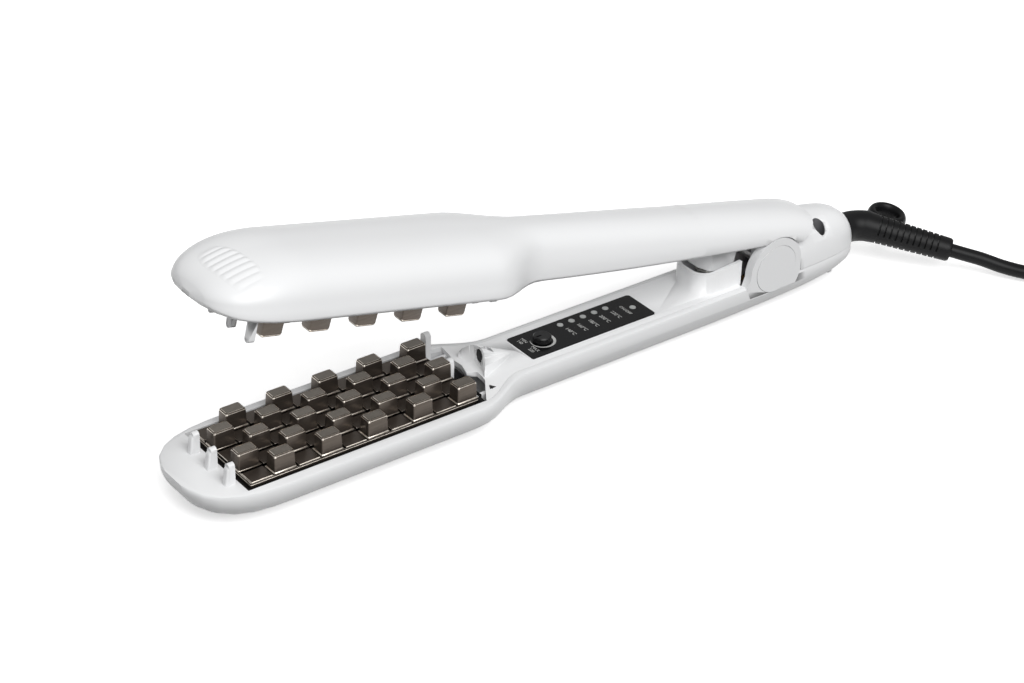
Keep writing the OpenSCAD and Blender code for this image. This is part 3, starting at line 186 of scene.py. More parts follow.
def swept(name, path, radii, roundness):
    """A round bar along a path, as a mesh with an unwelded cap on each end."""
    curve = bpy.data.curves.new(name, "CURVE")
    curve.dimensions = "3D"
    curve.bevel_depth = 1
    curve.bevel_resolution = roundness
    curve.use_fill_caps = True
    spline = curve.splines.new("POLY")
    spline.points.add(len(path) - 1)
    for knot, spot, radius in zip(spline.points, path, radii):
        knot.co = (*spot, 1)
        knot.radius = radius
    piece = bpy.data.objects.new(name, curve)
    bpy.context.collection.objects.link(piece)
    bpy.context.view_layer.objects.active = piece
    piece.select_set(True)
    bpy.ops.object.convert(target="MESH")
    piece.select_set(False)
    return piece


def shaded(piece, angle):
    """Shades a piece smooth, apart from edges sharper than an angle in degrees."""
    bpy.context.view_layer.objects.active = piece
    piece.select_set(True)
    bpy.ops.object.shade_smooth_by_angle(angle=radians(angle))
    piece.select_set(False)


class Tone:
    """One socket of a finish. Sums written with it add their Math nodes."""

    def __init__(self, tree, socket):
        self.tree = tree
        self.socket = socket

    def put(self, socket):
        self.tree.links.new(self.socket, socket)

    def make(self, kind, settings, sockets, out=0):
        """A new node. Its settings are set first, and then its sockets' values or links."""
        node = self.tree.nodes.new(kind)
        for name, value in settings.items():
            if name == "stops":
                for stop, (place, shade) in zip(node.color_ramp.elements, value):
                    stop.position = place
                    stop.color = (shade, shade, shade, 1)
            else:
                setattr(node, name, value)
        for name, value in sockets.items():
            if isinstance(value, Tone):
                value.put(node.inputs[name])
            else:
                node.inputs[name].default_value = value
        return Tone(self.tree, node.outputs[out])

    def sum(self, operation, other):
        return self.make("ShaderNodeMath", {"operation": operation}, {0: self, 1: other})

    def __add__(self, other):
        return self.sum("ADD", other)

    __radd__ = __add__

    def __mul__(self, other):
        return self.sum("MULTIPLY", other)

    __rmul__ = __mul__

    def clouds(self, scale, detail=3.0, roughness=0.5):
        return self.make("ShaderNodeTexNoise", {}, {"Vector": self, "Scale": scale,
                                                    "Detail": detail, "Roughness": roughness})

    def ramp(self, *stops):
        """The tone through a ramp of two greys, each given with its place."""
        return self.make("ShaderNodeValToRGB", {"stops": stops}, {0: self})

    def mix(self, low, high):
        """The colour low where the tone is 0 and high where it is 1."""
        return self.make("ShaderNodeMix", {"data_type": "RGBA"},
                         {0: self, 6: (*low, 1), 7: (*high, 1)}, 2)

    def bump(self, strength, distance=0.0001):
        return self.make("ShaderNodeBump", {},
                         {"Strength": strength, "Distance": distance, "Height": self})


def finish(name, colour, roughness, **constants):
    """A material with its plain values set, its shader and its place on the object."""
    material = bpy.data.materials.new(name)
    material.use_nodes = True
    tree = material.node_tree
    shader = tree.nodes["Principled BSDF"].inputs
    shader["Base Color"].default_value = (*colour, 1)
    shader["Roughness"].default_value = roughness
    for socket, value in constants.items():
        shader[socket.replace("_", " ")].default_value = value
    place = Tone(tree, tree.nodes.new("ShaderNodeTexCoord").outputs["Object"])
    return material, shader, place


def paint(material, *pieces):
    for piece in pieces:
        piece.data.materials.clear()
        piece.data.materials.append(material)


black_pvc, shader, place = finish("black_pvc", (0.004, 0.004, 0.0045), 0.42,
                                  Specular_IOR_Level=0.18)
dust = place.clouds(55, 4, 0.6)
dust.mix((0.0025, 0.0025, 0.003), (0.006, 0.006, 0.0065)).put(shader["Base Color"])
(0.34 + dust * 0.14).put(shader["Roughness"])
place.clouds(1900, 2).bump(0.12).put(shader["Normal"])
cord = swept("mains_cord", cord_path, [cord_d / 2] * len(cord_path), 6)
shaded(cord, 50)
paint(black_pvc, cord)
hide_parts("cord_lead", "cord_coil", "cord_end")
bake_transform(cord)
cord_length = sum((b - a).length for a, b in zip(cord_path, cord_path[1:]))

# ---- coil tie and plug
# The tie is a strap of soft black plastic. The plug is moulded on the cord in
# black PVC, and holds two turned pins in nickel plate.
nickel, shader, place = finish("nickel_plate", (0.72, 0.70, 0.66), 0.22, Metallic=1.0)
(0.16 + place.clouds(400, 4, 0.65) * 0.16).put(shader["Roughness"])
paint(black_pvc, nodes["coil_tie"], nodes["plug_body"])
paint(nickel, nodes["near_plug_pin"], nodes["far_plug_pin"])

# ---- lower shell
# The root half of the casing, moulded in white ABS with a satin skin and an
# open top. Its nose holds a plate and its handle the circuit board.


def moulded_abs(name, colour, flow, low, high):
    """White ABS with a satin skin, whose flow marks run between two whites."""
    material, shader, place = finish(name, colour, 0.32, IOR=1.47)
    place.clouds(flow, 3).mix(low, high).put(shader["Base Color"])
    (0.28 + place.clouds(90, 5, 0.6) * 0.12).put(shader["Roughness"])
    place.clouds(2600, 2).bump(0.06).put(shader["Normal"])
    return material


def smoothed(node, name, angle, flats=True):
    """A copy of a moulded node with its seams closed and its curves shaded smooth."""
    piece = nodes[node].copy()
    piece.data = nodes[node].data.copy()
    piece.name = piece.data.name = name
    bpy.context.collection.objects.link(piece)
    bpy.context.view_layer.objects.active = piece
    piece.select_set(True)
    bpy.ops.object.mode_set(mode="EDIT")
    bpy.ops.mesh.select_all(action="SELECT")
    bpy.ops.mesh.remove_doubles(threshold=0.000002)
    if flats:
        bpy.ops.mesh.dissolve_limited(angle_limit=radians(0.3))
    bpy.ops.object.mode_set(mode="OBJECT")
    shaded(piece, angle)
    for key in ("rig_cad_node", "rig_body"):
        if key in piece:
            del piece[key]
    piece.parent = None
    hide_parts(node)
    return piece


white_abs = moulded_abs("white_abs", (0.735, 0.74, 0.745), 22,
                        (0.725, 0.73, 0.735), (0.745, 0.75, 0.757))
lower_casing = smoothed("lower_shell", "lower_casing", 32)
paint(white_abs, lower_casing)
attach(lower_casing, "lower_arm")

# ---- heater stacks
# In each arm a mica sheet, a bowed steel leaf and a flat ceramic heater in a
# brown sleeve press against the plate.
mica, shader, place = finish("mica", (0.55, 0.47, 0.34), 0.4)
place.clouds(260, 5, 0.7).mix((0.46, 0.38, 0.26), (0.66, 0.58, 0.44)).put(shader["Base Color"])
spring_steel, shader, place = finish("spring_steel", (0.62, 0.61, 0.58), 0.28, Metallic=1.0)
(0.2 + place.clouds(500, 4) * 0.2).put(shader["Roughness"])
sleeve, shader, place = finish("heater_sleeve", (0.42, 0.20, 0.07), 0.35)
place.clouds(150, 3).mix((0.36, 0.16, 0.05), (0.50, 0.26, 0.10)).put(shader["Base Color"])
paint(mica, nodes["lower_insulator"], nodes["upper_insulator"])
paint(spring_steel, nodes["lower_heater_spring"], nodes["upper_heater_spring"])
paint(sleeve, nodes["lower_heater"], nodes["upper_heater"])

# ---- plates
# Crimping plates cast in aluminium with a dark bronze enamel, each in a frame of
# heatproof resin. Studs and low pads alternate over each plate. Their sloping
# edges are a brighter bronze, partly wear and partly a painted highlight, and
# the stud tops are a lighter bronze than their sides.
bronze, shader, place = finish("bronze_enamel", (0.115, 0.095, 0.078), 0.34, Metallic=0.75)
drawn = place.make("ShaderNodeMapping", {}, {"Vector": place, "Scale": (0.25, 0.25, 3.0)})
grain = drawn.clouds(420.0, 4.0, 0.6)
grain.mix((0.066, 0.054, 0.045), (0.120, 0.100, 0.083)).put(shader["Base Color"])
(0.28 + place.clouds(120, 4, 0.6) * 0.14).put(shader["Roughness"])
place.clouds(1500, 3).bump(0.12).put(shader["Normal"])
# The bright edge bronze is partly wear and partly a painted highlight.
worn_and_highlit_bronze, shader, place = finish("worn_and_highlit_bronze", (0.60, 0.54, 0.47), 0.26, Metallic=1.0)
wear_and_glint = place.clouds(700, 4, 0.7)
wear_and_glint_tone = wear_and_glint.ramp((0.3, 0.45), (0.6, 1.0))
wear_and_glint_tone.mix((0.3, 0.26, 0.22), (0.90, 0.83, 0.74)).put(shader["Base Color"])
(0.22 + wear_and_glint * 0.2).put(shader["Roughness"])
# The stud tops get a lighter bronze than their sides.
stud_top_bronze, shader, place = finish("stud_top_bronze", (0.20, 0.18, 0.155), 0.42, Metallic=0.7)
stud_top_mottle = place.clouds(520, 5, 0.7)
stud_top_mottle.mix((0.15, 0.135, 0.115), (0.27, 0.245, 0.215)).put(shader["Base Color"])
(0.36 + stud_top_mottle * 0.2).put(shader["Roughness"])
place.clouds(1700, 3).bump(0.25).put(shader["Normal"])
resin, shader, place = finish("heatproof_resin", (0.02, 0.018, 0.017), 0.5)
place.clouds(200, 4).mix((0.014, 0.013, 0.012), (0.028, 0.025, 0.023)).put(shader["Base Color"])
hinge = Vector((0.10142, 0, 0.01935))
opening = (Matrix.Translation(hinge) @ Matrix.Rotation(radians(13), 4, "Y")
           @ Matrix.Translation(-hinge))
turned_over = Matrix.Translation((0, 0, 2 * hinge.z)) @ Matrix.Scale(-1, 4, (0, 0, 1))
stud_pitch = 0.018
row_pitch = 0.0074
row_count = column_count = 5
pad_size = Vector((0.0080, 0.0064, 0.0005))
pad_sink = 0.0001
first_stud = Vector((-0.12552 + 0.00402, -2 * row_pitch, 0.01565))
edge_from, edge_to = 0.2, 0.93
stud_top_z = 0.0205
lip_z, lip_height, lip_spare = 0.01475, 0.00035, 0.0006


def added(name):
    """The piece that was just added, named and with its place in its mesh."""
    piece = bpy.context.object
    piece.name = piece.data.name = name
    bpy.ops.object.transform_apply()
    piece.select_set(False)
    return piece


def applied(piece, kind, **settings):
    """Adds a modifier to a piece with its settings, and applies it."""
    modifier = piece.modifiers.new(kind.lower(), kind)
    for name, value in settings.items():
        setattr(modifier, name, value)
    bpy.context.view_layer.objects.active = piece
    piece.select_set(True)
    bpy.ops.object.modifier_apply(modifier=modifier.name)
    piece.select_set(False)


def bevelled(piece, width, segments, angle):
    """Rounds the edges of a piece that are sharper than an angle in degrees."""
    applied(piece, "BEVEL", width=width, segments=segments, limit_method="ANGLE",
            angle_limit=radians(angle), use_clamp_overlap=False)
    shaded(piece, 28)


def enamelled(piece, *edge_and_top_finishes):
    """Paints a plate piece bronze, with further materials for its bright edges and lighter stud
    tops.
    """
    paint(bronze, piece)
    for material in edge_and_top_finishes:
        piece.data.materials.append(material)


def wear_and_highlight_edges(piece, place_of):
    """Gives the sloping edges of a plate piece their worn and highlit finish, and stud tops their
    lighter one.
    """
    plate_up = place_of.to_3x3() @ Vector((0, 0, 1))
    for face in piece.data.polygons:
        level = face.normal.dot(plate_up)
        if edge_from < level < edge_to:
            face.material_index = 1
        elif level >= edge_to and len(piece.data.materials) == 3:
            if (place_of.inverted() @ face.center).z > stud_top_z:
                face.material_index = 2


def moved(piece, place_of):
    """Moves a piece's mesh, and turns its faces outward again if that mirrors it."""
    piece.data.transform(place_of)
    if place_of.determinant() < 0:
        piece.data.flip_normals()


def pads_for(name, phase, place_of):
    """The low pads between a plate's studs, as one mesh."""
    bpy.ops.mesh.primitive_cube_add(size=1, location=(0, 0, pad_size.z / 2 - pad_sink),
                                    scale=pad_size)
    pad = added(name)
    enamelled(pad, worn_and_highlit_bronze)
    bevelled(pad, 0.00018, 1, 40)
    wear_and_highlight_edges(pad, Matrix.Identity(4))
    pads = []
    for row in range(row_count):
        for column in range(column_count):
            late = (row + phase) % 2
            copy = pad.copy()
            copy.data = pad.data.copy()
            copy.data.transform(Matrix.Translation(first_stud + Vector((
                column * stud_pitch + late * stud_pitch / 2, row * row_pitch, 0))))
            bpy.context.collection.objects.link(copy)
            pads.append(copy)
    bpy.data.objects.remove(pad)
    for copy in pads:
        copy.select_set(True)
    bpy.context.view_layer.objects.active = pads[0]
    bpy.ops.object.join()
    pads[0].name = pads[0].data.name = name
    pads[0].select_set(False)
    moved(pads[0], place_of)
    return pads[0]


low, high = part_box("lower_plate")
lip_shape = (Matrix.Translation(((low.x + high.x) / 2, 0, lip_z))
             @ Matrix.Diagonal((high.x - low.x + lip_spare, high.y - low.y + lip_spare,
                                lip_height, 1)))
for node, arm, phase, place_of, body in (
        ("lower_plate", "lower", 0, Matrix.Identity(4), "lower_arm"),
        ("upper_plate", "upper", 1, opening @ turned_over, "upper_arm")):
    studs = smoothed(node, arm + "_studs", 25)
    enamelled(studs, worn_and_highlit_bronze, stud_top_bronze)
    bevelled(studs, 0.00048, 3, 40)
    wear_and_highlight_edges(studs, place_of)
    pads = pads_for(arm + "_pads", phase, place_of)
    bpy.ops.mesh.primitive_cube_add(size=1)
    lip = added(arm + "_plate_lip")
    moved(lip, place_of @ lip_shape)
    enamelled(lip, worn_and_highlit_bronze)
    bevelled(lip, 0.0001, 1, 40)
    wear_and_highlight_edges(lip, place_of)
    for piece in (studs, pads, lip):
        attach(piece, body)
paint(resin, nodes["lower_plate_frame"], nodes["upper_plate_frame"], nodes["lower_thermistor"],
      nodes["thermal_fuse"])

# ---- shade blocks and nose posts
# Black blocks fill the gaps behind the lower plate and across the neck below the
# hood. Their black is painted shade for the dark inside of the housing. Beside
# each nose post a lower shoulder is moulded with it, to guide the hair.
# The blocks' plain black is painted shade, not a part of the tool.
gap_shade, shader, place = finish("painted_gap_shade", (0.006, 0.006, 0.006), 0.6,
                                 Specular_IOR_Level=0.2)
(0.5 + place.clouds(300, 4) * 0.2).put(shader["Roughness"])
for name, middle, size in (
        ("plate_end_gap_shade", (-0.0361, -0.0011, 0.01222), (0.0004, 0.0372, 0.0060)),
        ("plate_corner_gap_shade", (-0.03525, -0.0181, 0.0119), (0.0020, 0.0032, 0.0052)),
        ("near_neck_gap_shade", (-0.0334, -0.0098, 0.0121), (0.0004, 0.0116, 0.0052)),
        ("hood_gap_shade", (-0.0334, 0.0, 0.01335), (0.0004, 0.0140, 0.0077))):
    bpy.ops.mesh.primitive_cube_add(size=1, location=middle, scale=size)
    shade_block = added(name)
    bevelled(shade_block, 0.0001, 2, 40)
    paint(gap_shade, shade_block)
    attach(shade_block, "lower_arm")
shoulder_x, shoulder_z = -0.1319, 0.0177
shoulder_size = (0.0022, 0.00255, 0.0086)
shoulder_slope, shoulder_drop = 0.0010, 0.0012
for i, y in enumerate((0.009, -0.0019, -0.0128)):
    bpy.ops.mesh.primitive_cube_add(size=1, location=(shoulder_x, y, shoulder_z),
                                    scale=shoulder_size)
    shoulder = added(f"nose_post_shoulder_{i + 1}")
    for corner in shoulder.data.vertices:
        if corner.co.z > shoulder_z and corner.co.x < shoulder_x:
            corner.co.x += shoulder_slope
            corner.co.z -= shoulder_drop
    bevelled(shoulder, 0.0006, 4, 20)
    paint(white_abs, shoulder)
    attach(shoulder, "lower_arm")

# ---- handle cover
# A white ABS cover closes the lower handle and is held by one screw. It carries
# the spring box, the rear pegs and the hood of the hanging screw.
# The cover's ABS is a lighter white than the casing's: painted light on the deck, which the upper
# arm shades.
lit_cover_abs = moulded_abs("lit_cover_abs", (0.83, 0.835, 0.84), 24,
                        (0.82, 0.825, 0.83), (0.84, 0.845, 0.852))
white_cover = smoothed("lower_deck", "handle_cover", 30)
hood_tip, hood_tip_r = Vector((-0.0073, 0, 0.0150)), 0.0004
for edge in white_cover.data.edges:
    if min((white_cover.data.vertices[i].co - hood_tip).length for i in edge.vertices) < hood_tip_r:
        edge.use_edge_sharp = False
paint(lit_cover_abs, white_cover)
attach(white_cover, "lower_arm")
# A black plug in the hood's bore and a black triangle on the deck by the neck are painted shade,
# for the dark hole and a dark notch.
hole_shade_black, shader, place = finish("hole_shade_black", (0.004, 0.004, 0.004), 0.6)
bpy.ops.mesh.primitive_cylinder_add(vertices=40, radius=0.0019, depth=0.0012,
                                    location=(-0.0223, 0, 0.0184), rotation=(0, radians(90), 0))
bpy.context.object.scale.x = 1.37
bore_shade = added("hood_bore_shade")
bevelled(bore_shade, 0.0003, 2, 40)
paint(hole_shade_black, bore_shade)
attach(bore_shade, "lower_arm")
bpy.ops.mesh.primitive_cylinder_add(vertices=3, radius=0.0015, depth=0.0005,
                                    location=(-0.02788, -0.0141, 0.0149))
notch_shade = added("deck_notch_shade")
bevelled(notch_shade, 0.0001, 2, 40)
paint(hole_shade_black, notch_shade)
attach(notch_shade, "lower_arm")

# ---- control overlay, lamps, board
# A black gloss overlay with white print lies in the cover over six lamps and
# the dial. Under it is a phenolic board with its parts.
gloss, shader, place = finish("black_gloss", (0.004, 0.004, 0.0045), 0.2,
                              Specular_IOR_Level=0.15)
(0.15 + place.clouds(160, 4) * 0.12).put(shader["Roughness"])
white_ink, shader, place = finish("white_ink", (0.62, 0.62, 0.61), 0.5)
place.clouds(900, 3).mix((0.30, 0.30, 0.29), (0.62, 0.62, 0.61)).put(shader["Base Color"])
print_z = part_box("control_overlay")[1].z + 0.00002
dial = Vector((0.00432, 0, print_z))
scale_start, scale_sweep = 148, 240
scale_r, scale_closing = 0.00422, 0.00032
scale_thin, scale_widening = 0.00012, 0.00115
bpy.ops.mesh.primitive_grid_add(x_subdivisions=60, y_subdivisions=1, size=1)
heat_scale = added("dial_heat_scale")
for corner in heat_scale.data.vertices:
    along, outward = corner.co.x + 0.5, corner.co.y + 0.5
    turn = radians(scale_start + scale_sweep * along)
    reach = (scale_r - scale_closing * along
             + (scale_thin + scale_widening * along) * outward)
    corner.co = dial + Vector((reach * cos(turn), reach * sin(turn), 0))
applied(heat_scale, "SOLIDIFY", thickness=0.00002)
paint(white_ink, heat_scale)
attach(heat_scale, "lower_arm")


def printed(name, words, x, y, size):
    """Small white lettering on the overlay, which reads from the nose end."""
    bpy.ops.object.text_add(location=(x, y, print_z), rotation=(0, 0, radians(-90)))
    ink = bpy.context.object.data
    ink.body = words
    ink.size = size
    ink.align_x = "CENTER"
    ink.align_y = "CENTER"
    ink.extrude = 0.00001
    bpy.ops.object.convert(target="MESH")
    mark = added(name)
    paint(white_ink, mark)
    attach(mark, "lower_arm")


first_mark_x, lamp_pitch = 0.01652, 0.0051
lamp_ink, mark_ink = 0.0021, 0.0018
for i in range(5):
    printed(f"lamp_mark_{i + 1}", f"{140 + 20 * i}\N{DEGREE SIGN}C",
            first_mark_x + i * lamp_pitch, -0.0007, lamp_ink)
printed("power_mark", "ON/OFF", 0.0417, -0.0002, mark_ink)
printed("dial_low_mark", "MIN\n140", -0.0018, 0.0036, mark_ink)
printed("dial_high_mark", "MAX\n220", -0.0018, -0.0030, mark_ink)
lens, shader, place = finish("clear_lens", (0.36, 0.37, 0.37), 0.22)
place.clouds(700, 3).mix((0.26, 0.27, 0.27), (0.46, 0.47, 0.46)).put(shader["Base Color"])
led, shader, place = finish("led_resin", (0.8, 0.78, 0.7), 0.25)
place.clouds(500, 3).mix((0.70, 0.68, 0.60), (0.86, 0.85, 0.78)).put(shader["Base Color"])
board_green, shader, place = finish("board_green", (0.03, 0.12, 0.05), 0.4)
place.clouds(90, 3).mix((0.02, 0.09, 0.035), (0.04, 0.15, 0.06)).put(shader["Base Color"])
blue_case, shader, place = finish("blue_case", (0.05, 0.12, 0.35), 0.4)
place.clouds(180, 4).mix((0.035, 0.09, 0.28), (0.06, 0.14, 0.38)).put(shader["Base Color"])
brass, shader, place = finish("brass", (0.72, 0.52, 0.22), 0.3, Metallic=1.0)
(0.22 + place.clouds(260, 5, 0.6) * 0.22).put(shader["Roughness"])
lead_sheath, shader, place = finish("lead_sheath", (0.35, 0.2, 0.08), 0.45)
place.clouds(120, 4).mix((0.28, 0.15, 0.06), (0.40, 0.24, 0.10)).put(shader["Base Color"])
black_plastic, shader, place = finish("black_plastic", (0.005, 0.005, 0.0055), 0.38,
                                      Specular_IOR_Level=0.35)
(0.3 + place.clouds(220, 4) * 0.16).put(shader["Roughness"])
paint(gloss, nodes["control_overlay"])
paint(lens, *[nodes[f"indicator_lens_{i}"] for i in range(1, 7)])
paint(led, *[nodes[f"indicator_led_{i}"] for i in range(1, 7)])
paint(board_green, nodes["circuit_board"])
paint(black_plastic, nodes["board_parts"], nodes["knob_shaft"], nodes["temperature_knob"],
      nodes["slip_ring_core"], nodes["swivel_socket"])
paint(blue_case, nodes["potentiometer"])
paint(brass, nodes["near_contact_spring"], nodes["far_contact_spring"])
paint(lead_sheath, nodes["near_mains_lead"], nodes["far_mains_lead"])

# ---- hinge, spring and screws
# A steel pin with a white cap at each end joins the arms. A coil spring from
# the cover pushes the upper arm open.
steel, shader, place = finish("steel", (0.6, 0.6, 0.6), 0.3, Metallic=1.0)
(0.24 + place.clouds(300, 4) * 0.16).put(shader["Roughness"])
paint(steel, nodes["hinge_pin"], nodes["near_tail_screw"], nodes["far_tail_screw"],
      nodes["deck_screw"], nodes["liner_screw"])
paint(spring_steel, nodes["arm_spring"])
for node in ("near_hinge_cap", "far_hinge_cap"):
    cap = smoothed(node, node + "_smooth", 30)
    paint(white_abs, cap)
    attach(cap, "lower_arm")

# ---- tail
# The tail cover closes the back of the casing over the swivel. Its two screws
# sit in deep wells, lined in dark grey as painted shade.
tail = smoothed("tail_cover", "tail_casing", 22)
paint(white_abs, tail)
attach(tail, "lower_arm")
well_shade_grey, shader, place = finish("well_shade_grey", (0.10, 0.10, 0.105), 0.5)
place.clouds(400, 3).mix((0.07, 0.07, 0.075), (0.13, 0.13, 0.135)).put(shader["Base Color"])
well_r, well_depth, well_wall, well_sink = 0.00256, 0.004, 0.0003, 0.00008
above_all = 0.06
for side in ("near", "far"):
    low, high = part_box(side + "_tail_screw")
    middle = (low + high) / 2
    well_middle_z = high.z + well_depth / 2
    bpy.ops.mesh.primitive_cylinder_add(vertices=48, radius=well_r, depth=well_depth,
                                        end_fill_type="NOTHING",
                                        location=(middle.x, middle.y, well_middle_z))
    well = added(side + "_screw_well")
    for corner in well.data.vertices:
        if corner.co.z > well_middle_z:
            out = Vector((corner.co.x - middle.x, corner.co.y - middle.y, 0)).normalized()
            spot = corner.co + out * well_wall
            hit = tail.ray_cast((spot.x, spot.y, above_all), (0, 0, -1))[1]
            corner.co.z = hit.z - well_sink
    applied(well, "SOLIDIFY", thickness=well_wall, offset=-1)
    shaded(well, 40)
    paint(well_shade_grey, well)
    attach(well, "lower_arm")

# ---- cord boot
# The cord leaves the tail through a black rubber boot that turns in the swivel.
# Slots let it bend, and a hanging ring is moulded on its back.
slot_count = 11
slot_start, slot_rest = 0.0045, 0.003
slot_step = (boot_len - slot_start - slot_rest) / slot_count
slot_lines = (-0.0002, 0, 0.00010, 0.00034, 0.00058, 0.00068, 0.0009)
slot_from, slot_to = 0.00006, 0.00062
side_depth, top_ease, under_depth = 0.0011, 0.0008, 0.0005
stem_r, boot_r, lip_r = 0.0030, 0.0059, 0.0041
sleeve_r, sleeve_taper = 0.0056, 0.0011
boot_across = Vector((sin(elbow_turn), cos(elbow_turn), 0))
boot_up = boot_way.cross(boot_across)
boot_line = [(Vector((x, 0, swivel_z)), r) for x, r in (
    (0.1290, stem_r), (0.1400, stem_r), (0.1408, boot_r), (0.1470, boot_r))]
boot_line += [(elbow_point(elbow_turn * i / 12), boot_r) for i in range(13)]
slotted = [slot_start + i * slot_step + line for i in range(slot_count) for line in slot_lines]
for along in (*slotted, boot_len - 0.0012, boot_len - 0.0003):
    boot_line.append((elbow_exit + boot_way * along, sleeve_r - sleeve_taper * along / boot_len))
boot_line.append((boot_end + boot_way * 0.0005, lip_r))
boot = swept("cord_boot", *zip(*boot_line), 22)
for corner in boot.data.vertices:
    along = (corner.co - elbow_exit).dot(boot_way)
    out = (corner.co - elbow_exit - boot_way * along).normalized()
    lift = out.dot(boot_up)
    if (slot_start - 0.0001 <= along <= boot_len - 0.0025
            and slot_from < (along - slot_start) % slot_step < slot_to):
        if lift > 0.05:
            corner.co -= out * (side_depth - top_ease * max(lift - 0.6, 0) / 0.4)
        elif lift < -0.6:
            corner.co -= out * under_depth
shaded(boot, 40)
paint(black_pvc, boot)
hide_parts("swivel_boot")
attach(boot, "cord_swivel")
ring_middle = Vector((0.1686, -0.0021, 0.0148))
ring_axis = Vector((0.1289, -0.1407, 0.9816))
ring_height = 1.9
bpy.ops.mesh.primitive_torus_add(major_segments=72, minor_segments=28, major_radius=0.0059,
                                 minor_radius=0.00175)
ring = added("hanging_ring")
moved(ring, Matrix.Translation(ring_middle)
      @ Vector((0, 0, 1)).rotation_difference(ring_axis).to_matrix().to_4x4()
      @ Matrix.Scale(ring_height, 4, (0, 0, 1)))
shaded(ring, 180)
paint(black_pvc, ring)
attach(ring, "cord_swivel")

# ---- upper arm
# The upper arm's shell is the root half's twin in white ABS, with a liner in it
# that carries its hinge cheeks. Its outer skin is laid as rings of points along
# the arm, with a shoulder, a flat crown and a nose that rises at the tip.
upper_casing = smoothed("upper_shell", "upper_casing", 32, False)
nose_x, upper_rim, nose_len = -0.144, 0.0237, 0.034
neck_s, grip_s, hinge_s = 0.10602, 0.13302, 0.24542
head_half, handle_half, back_rise, back_fall = 0.0237, 0.0136, 0.0173, 0.0026
arch_rise, arch_power = 0.0046, 1.6
section_power = 2.35
skin_end, skin_overlap = 0.2065, 0.0005
tip_len, tip_width, tip_height = 0.0002, 0.4, 0.5
nose_lift_len, nose_lift = 0.012, 0.0017
closing = opening.inverted()


def round_end(t, power):
    return max(1 - max(t, 0) ** power, 0) ** (1 / power)


def arm_half(s):
    """Half the width of the arm at a distance s from its nose."""
    if s < nose_len:
        return head_half * round_end(1 - max(s, 0.00025) / nose_len, 2.8)
    narrowing = between(0, (s - neck_s) / (grip_s - neck_s), 1)
    return handle_half + (head_half - handle_half) * (1 + cos(pi * narrowing)) / 2


def arm_rise(s):
    """Height of the arm's back over its rim."""
    if s < nose_len:
        return back_rise * round_end(1 - max(s, 0.0006) / nose_len, 2)
    return back_rise - back_fall * max(s - neck_s, 0) / (hinge_s + 0.0255 - neck_s)


def arm_edge(s):
    """Rise of the arm's lower edge over the rim, which arches over the handle."""
    arch = grip_s - 0.005
    return arch_rise * between(0, (s - arch) / (hinge_s - 0.010 - arch), 1.05) ** arch_power


def section(s):
    """The skin's half width, its height over the small rounding at its edge, and the
    height where it starts."""
    low = upper_rim + arm_edge(s)
    half, rise = arm_half(s), upper_rim + arm_rise(s) - low
    round_r = min(0.0013, half * 0.4, rise * 0.4)
    return half, rise - round_r, low + round_r


def on_skin(spot):
    """A point's place along the arm, its angle round the section, and its distance out,
    which is 1 on the skin. A point below the skin has none of them."""
    s = spot.x - nose_x
    half, rise, base = section(s)
    y, z = spot.y / half, (spot.z - base) / rise
    if z < -0.02:
        return None
    z = max(z, 0)
    return s, atan2(z, y), (abs(y) ** section_power + z ** section_power) ** (1 / section_power)


def nosed(s, y, z):
    """A place on the section, narrowed at the very tip and lifted along the nose."""
    if s < tip_len:
        y, z = y * tip_width, upper_rim + (z - upper_rim) * tip_height
    return y, z + nose_lift * max(1 - s / nose_lift_len, 0) ** 2


def swell(degree, middle, width):
    """A soft swelling of height 1 round one angle of the section."""
    return exp(-((degree - middle) / width) ** 2)


def skin_spot(s, turn):
    """A point of the finished skin. A turn of 0 is the far edge, and of pi the near one."""
    half, rise, base = section(s)
    head = between(0, (grip_s + 0.01 - s) / 0.035, 1)
    fade = between(0, (skin_end - s) / 0.02, 1)
    degree = min(turn, pi - turn) * 180 / pi
    shoulder = swell(degree, 46, 17) * (0.018 + 0.017 * head)
    hollow = swell(degree, 15, 9) * 0.012 * head
    crown = swell(degree, 90, 26) * (0.008 + 0.022 * head)
    size = ((abs(cos(turn)) ** section_power + abs(sin(turn)) ** section_power)
            ** (-1 / section_power))
    size *= 1 + (shoulder - hollow - crown) * fade
    y, z = nosed(s, half * size * cos(turn), base + rise * size * sin(turn))
    return Vector((nose_x + s, y, z))


def skin_slope(s, turn):
    """The outward direction of the finished skin."""
    s = max(s, 0.0009)
    along = skin_spot(s + 0.0002, turn) - skin_spot(s - 0.0002, turn)
    around = skin_spot(s, turn + 0.01) - skin_spot(s, turn - 0.01)
    return around.cross(along).normalized()


skin = bmesh.new()
skin.from_mesh(upper_casing.data)
skin.transform(closing)
skin.normal_update()
outer = []
for face in skin.faces:
    if all(v.co.x - nose_x < skin_end and on_skin(v.co) for v in face.verts):
        spot = on_skin(face.calc_center_median())
        if spot:
            s, turn, size = spot
            if size > 0.9 and face.normal.dot(skin_slope(s, turn)) > 0.3:
                outer.append(face)
bmesh.ops.delete(skin, geom=outer, context="FACES")
for v in skin.verts:
    v.co.y, v.co.z = nosed(v.co.x - nose_x, v.co.y, v.co.z)
nose_count, arm_count, around_count = 60, 150, 112
nose_skip = 9
stations = [0, *[nose_len * (1 - cos(pi / 2 * i / nose_count))
                 for i in range(nose_skip, nose_count)]]
stations += [nose_len + (skin_end + skin_overlap - nose_len) * i / arm_count
             for i in range(arm_count + 1)]
sink_len, sink_depth = 0.010, 0.00004
tuck_in, tuck_down = 0.0001, 0.0003
rings = []
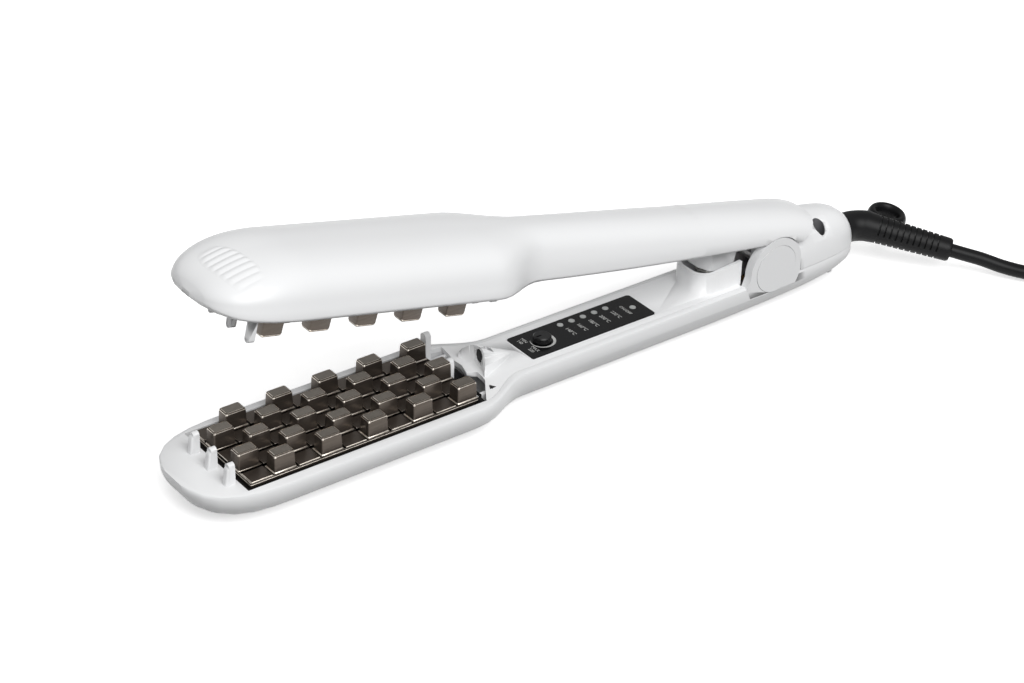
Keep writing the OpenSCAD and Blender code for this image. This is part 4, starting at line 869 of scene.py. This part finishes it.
for s in stations:
    sink = sink_depth * max(s - skin_end + sink_len, 0) / sink_len
    tuck = min(tuck_in, arm_half(s) * 0.2)
    line = []
    for j in range(around_count + 1):
        turn = pi * j / around_count
        line.append(skin_spot(s, turn) - Vector((0, cos(turn), sin(turn))) * sink)
    line.insert(0, line[0] + Vector((0, -tuck, -tuck_down)))
    line.append(line[-1] + Vector((0, tuck, -tuck_down)))
    rings.append([skin.verts.new(spot) for spot in line])
for here, beyond in zip(rings, rings[1:]):
    for j in range(len(here) - 1):
        skin.faces.new((here[j], here[j + 1], beyond[j + 1], beyond[j])).smooth = True
skin.transform(opening)
skin.to_mesh(upper_casing.data)
skin.free()
bpy.context.view_layer.update()
paint(white_abs, upper_casing)
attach(upper_casing, "upper_arm")
liner = smoothed("upper_liner", "upper_lining", 30)
paint(white_abs, liner)
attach(liner, "upper_arm")

# ---- finger grip
# Nine ribs are moulded in an oval patch on the top of the upper nose, where a
# finger steadies the hot end.
grip_x, grip_y = -0.1321, -0.0050
grip_half_x, grip_half_y, grip_lean = 0.0058, 0.0138, 0.0012
oval_power, oval_edge = 2.6, 1.03
rib_pitch, rib_height, rib_power = 0.0030, 0.00034, 0.6
skin_gap, rim_drop = 0.00003, 0.00025
bpy.ops.mesh.primitive_grid_add(x_subdivisions=70, y_subdivisions=170, size=2)
grip = added("finger_grip")
down = opening.to_3x3() @ Vector((0, 0, -1))
for corner in grip.data.vertices:
    across, along = corner.co.x, corner.co.y
    oval = (abs(across) ** oval_power + abs(along) ** oval_power) ** (1 / oval_power)
    if oval > oval_edge:
        across, along = across * oval_edge / oval, along * oval_edge / oval
    x = grip_x - grip_lean * along + grip_half_x * across
    y = grip_y + grip_half_y * along
    spot = upper_casing.ray_cast(opening @ Vector((x, y, above_all)), down)[1]
    wave = 0.5 + 0.5 * cos(2 * pi * (y - grip_y) / rib_pitch)
    rib = wave ** rib_power * between(0, (0.98 - oval) / 0.2, 1)
    rim = between(-1, (1 - oval) / 0.03, 0)
    corner.co = spot - down * (skin_gap + rim_drop * rim + rib_height * rib)
shaded(grip, 180)
paint(white_abs, grip)
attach(grip, "upper_arm")

# ---- room
# A pale paper floor under one large soft lamp. The sky round it darkens towards
# the horizon.
bpy.ops.mesh.primitive_plane_add(size=8, location=(0, 0, -0.0001))
floor = bpy.context.object
floor.name = "floor"
floor.visible_diffuse = False
paper, shader, place = finish("paper", (0.95, 0.95, 0.95), 0.9)
paint(paper, floor)
shader["Emission Color"].default_value = (1, 1, 1, 1)
shader["Emission Strength"].default_value = 0.45
floor.select_set(False)
lamp_place = Vector((-0.3, -1.42, 1.52))
light = bpy.data.lights.new("key", "AREA")
light.shape = "RECTANGLE"
light.size, light.size_y = 1.7, 1.4
light.energy = 42
lamp = bpy.data.objects.new("key", light)
lamp.location = lamp_place
lamp.rotation_euler = (-lamp_place).to_track_quat("-Z", "Y").to_euler()
bpy.context.collection.objects.link(lamp)
world = bpy.data.worlds.new("room")
world.use_nodes = True
sky = world.node_tree.nodes["Background"].inputs
sky["Strength"].default_value = 0.54
aim = Tone(world.node_tree,
           world.node_tree.nodes.new("ShaderNodeTexCoord").outputs["Generated"])
height = aim.make("ShaderNodeSeparateXYZ", {}, {0: aim}, "Z")
height.ramp((0.0, 0.12), (0.3, 1.0)).put(sky["Color"])
bpy.context.scene.world = world
bpy.context.scene.view_settings.view_transform = "Standard"
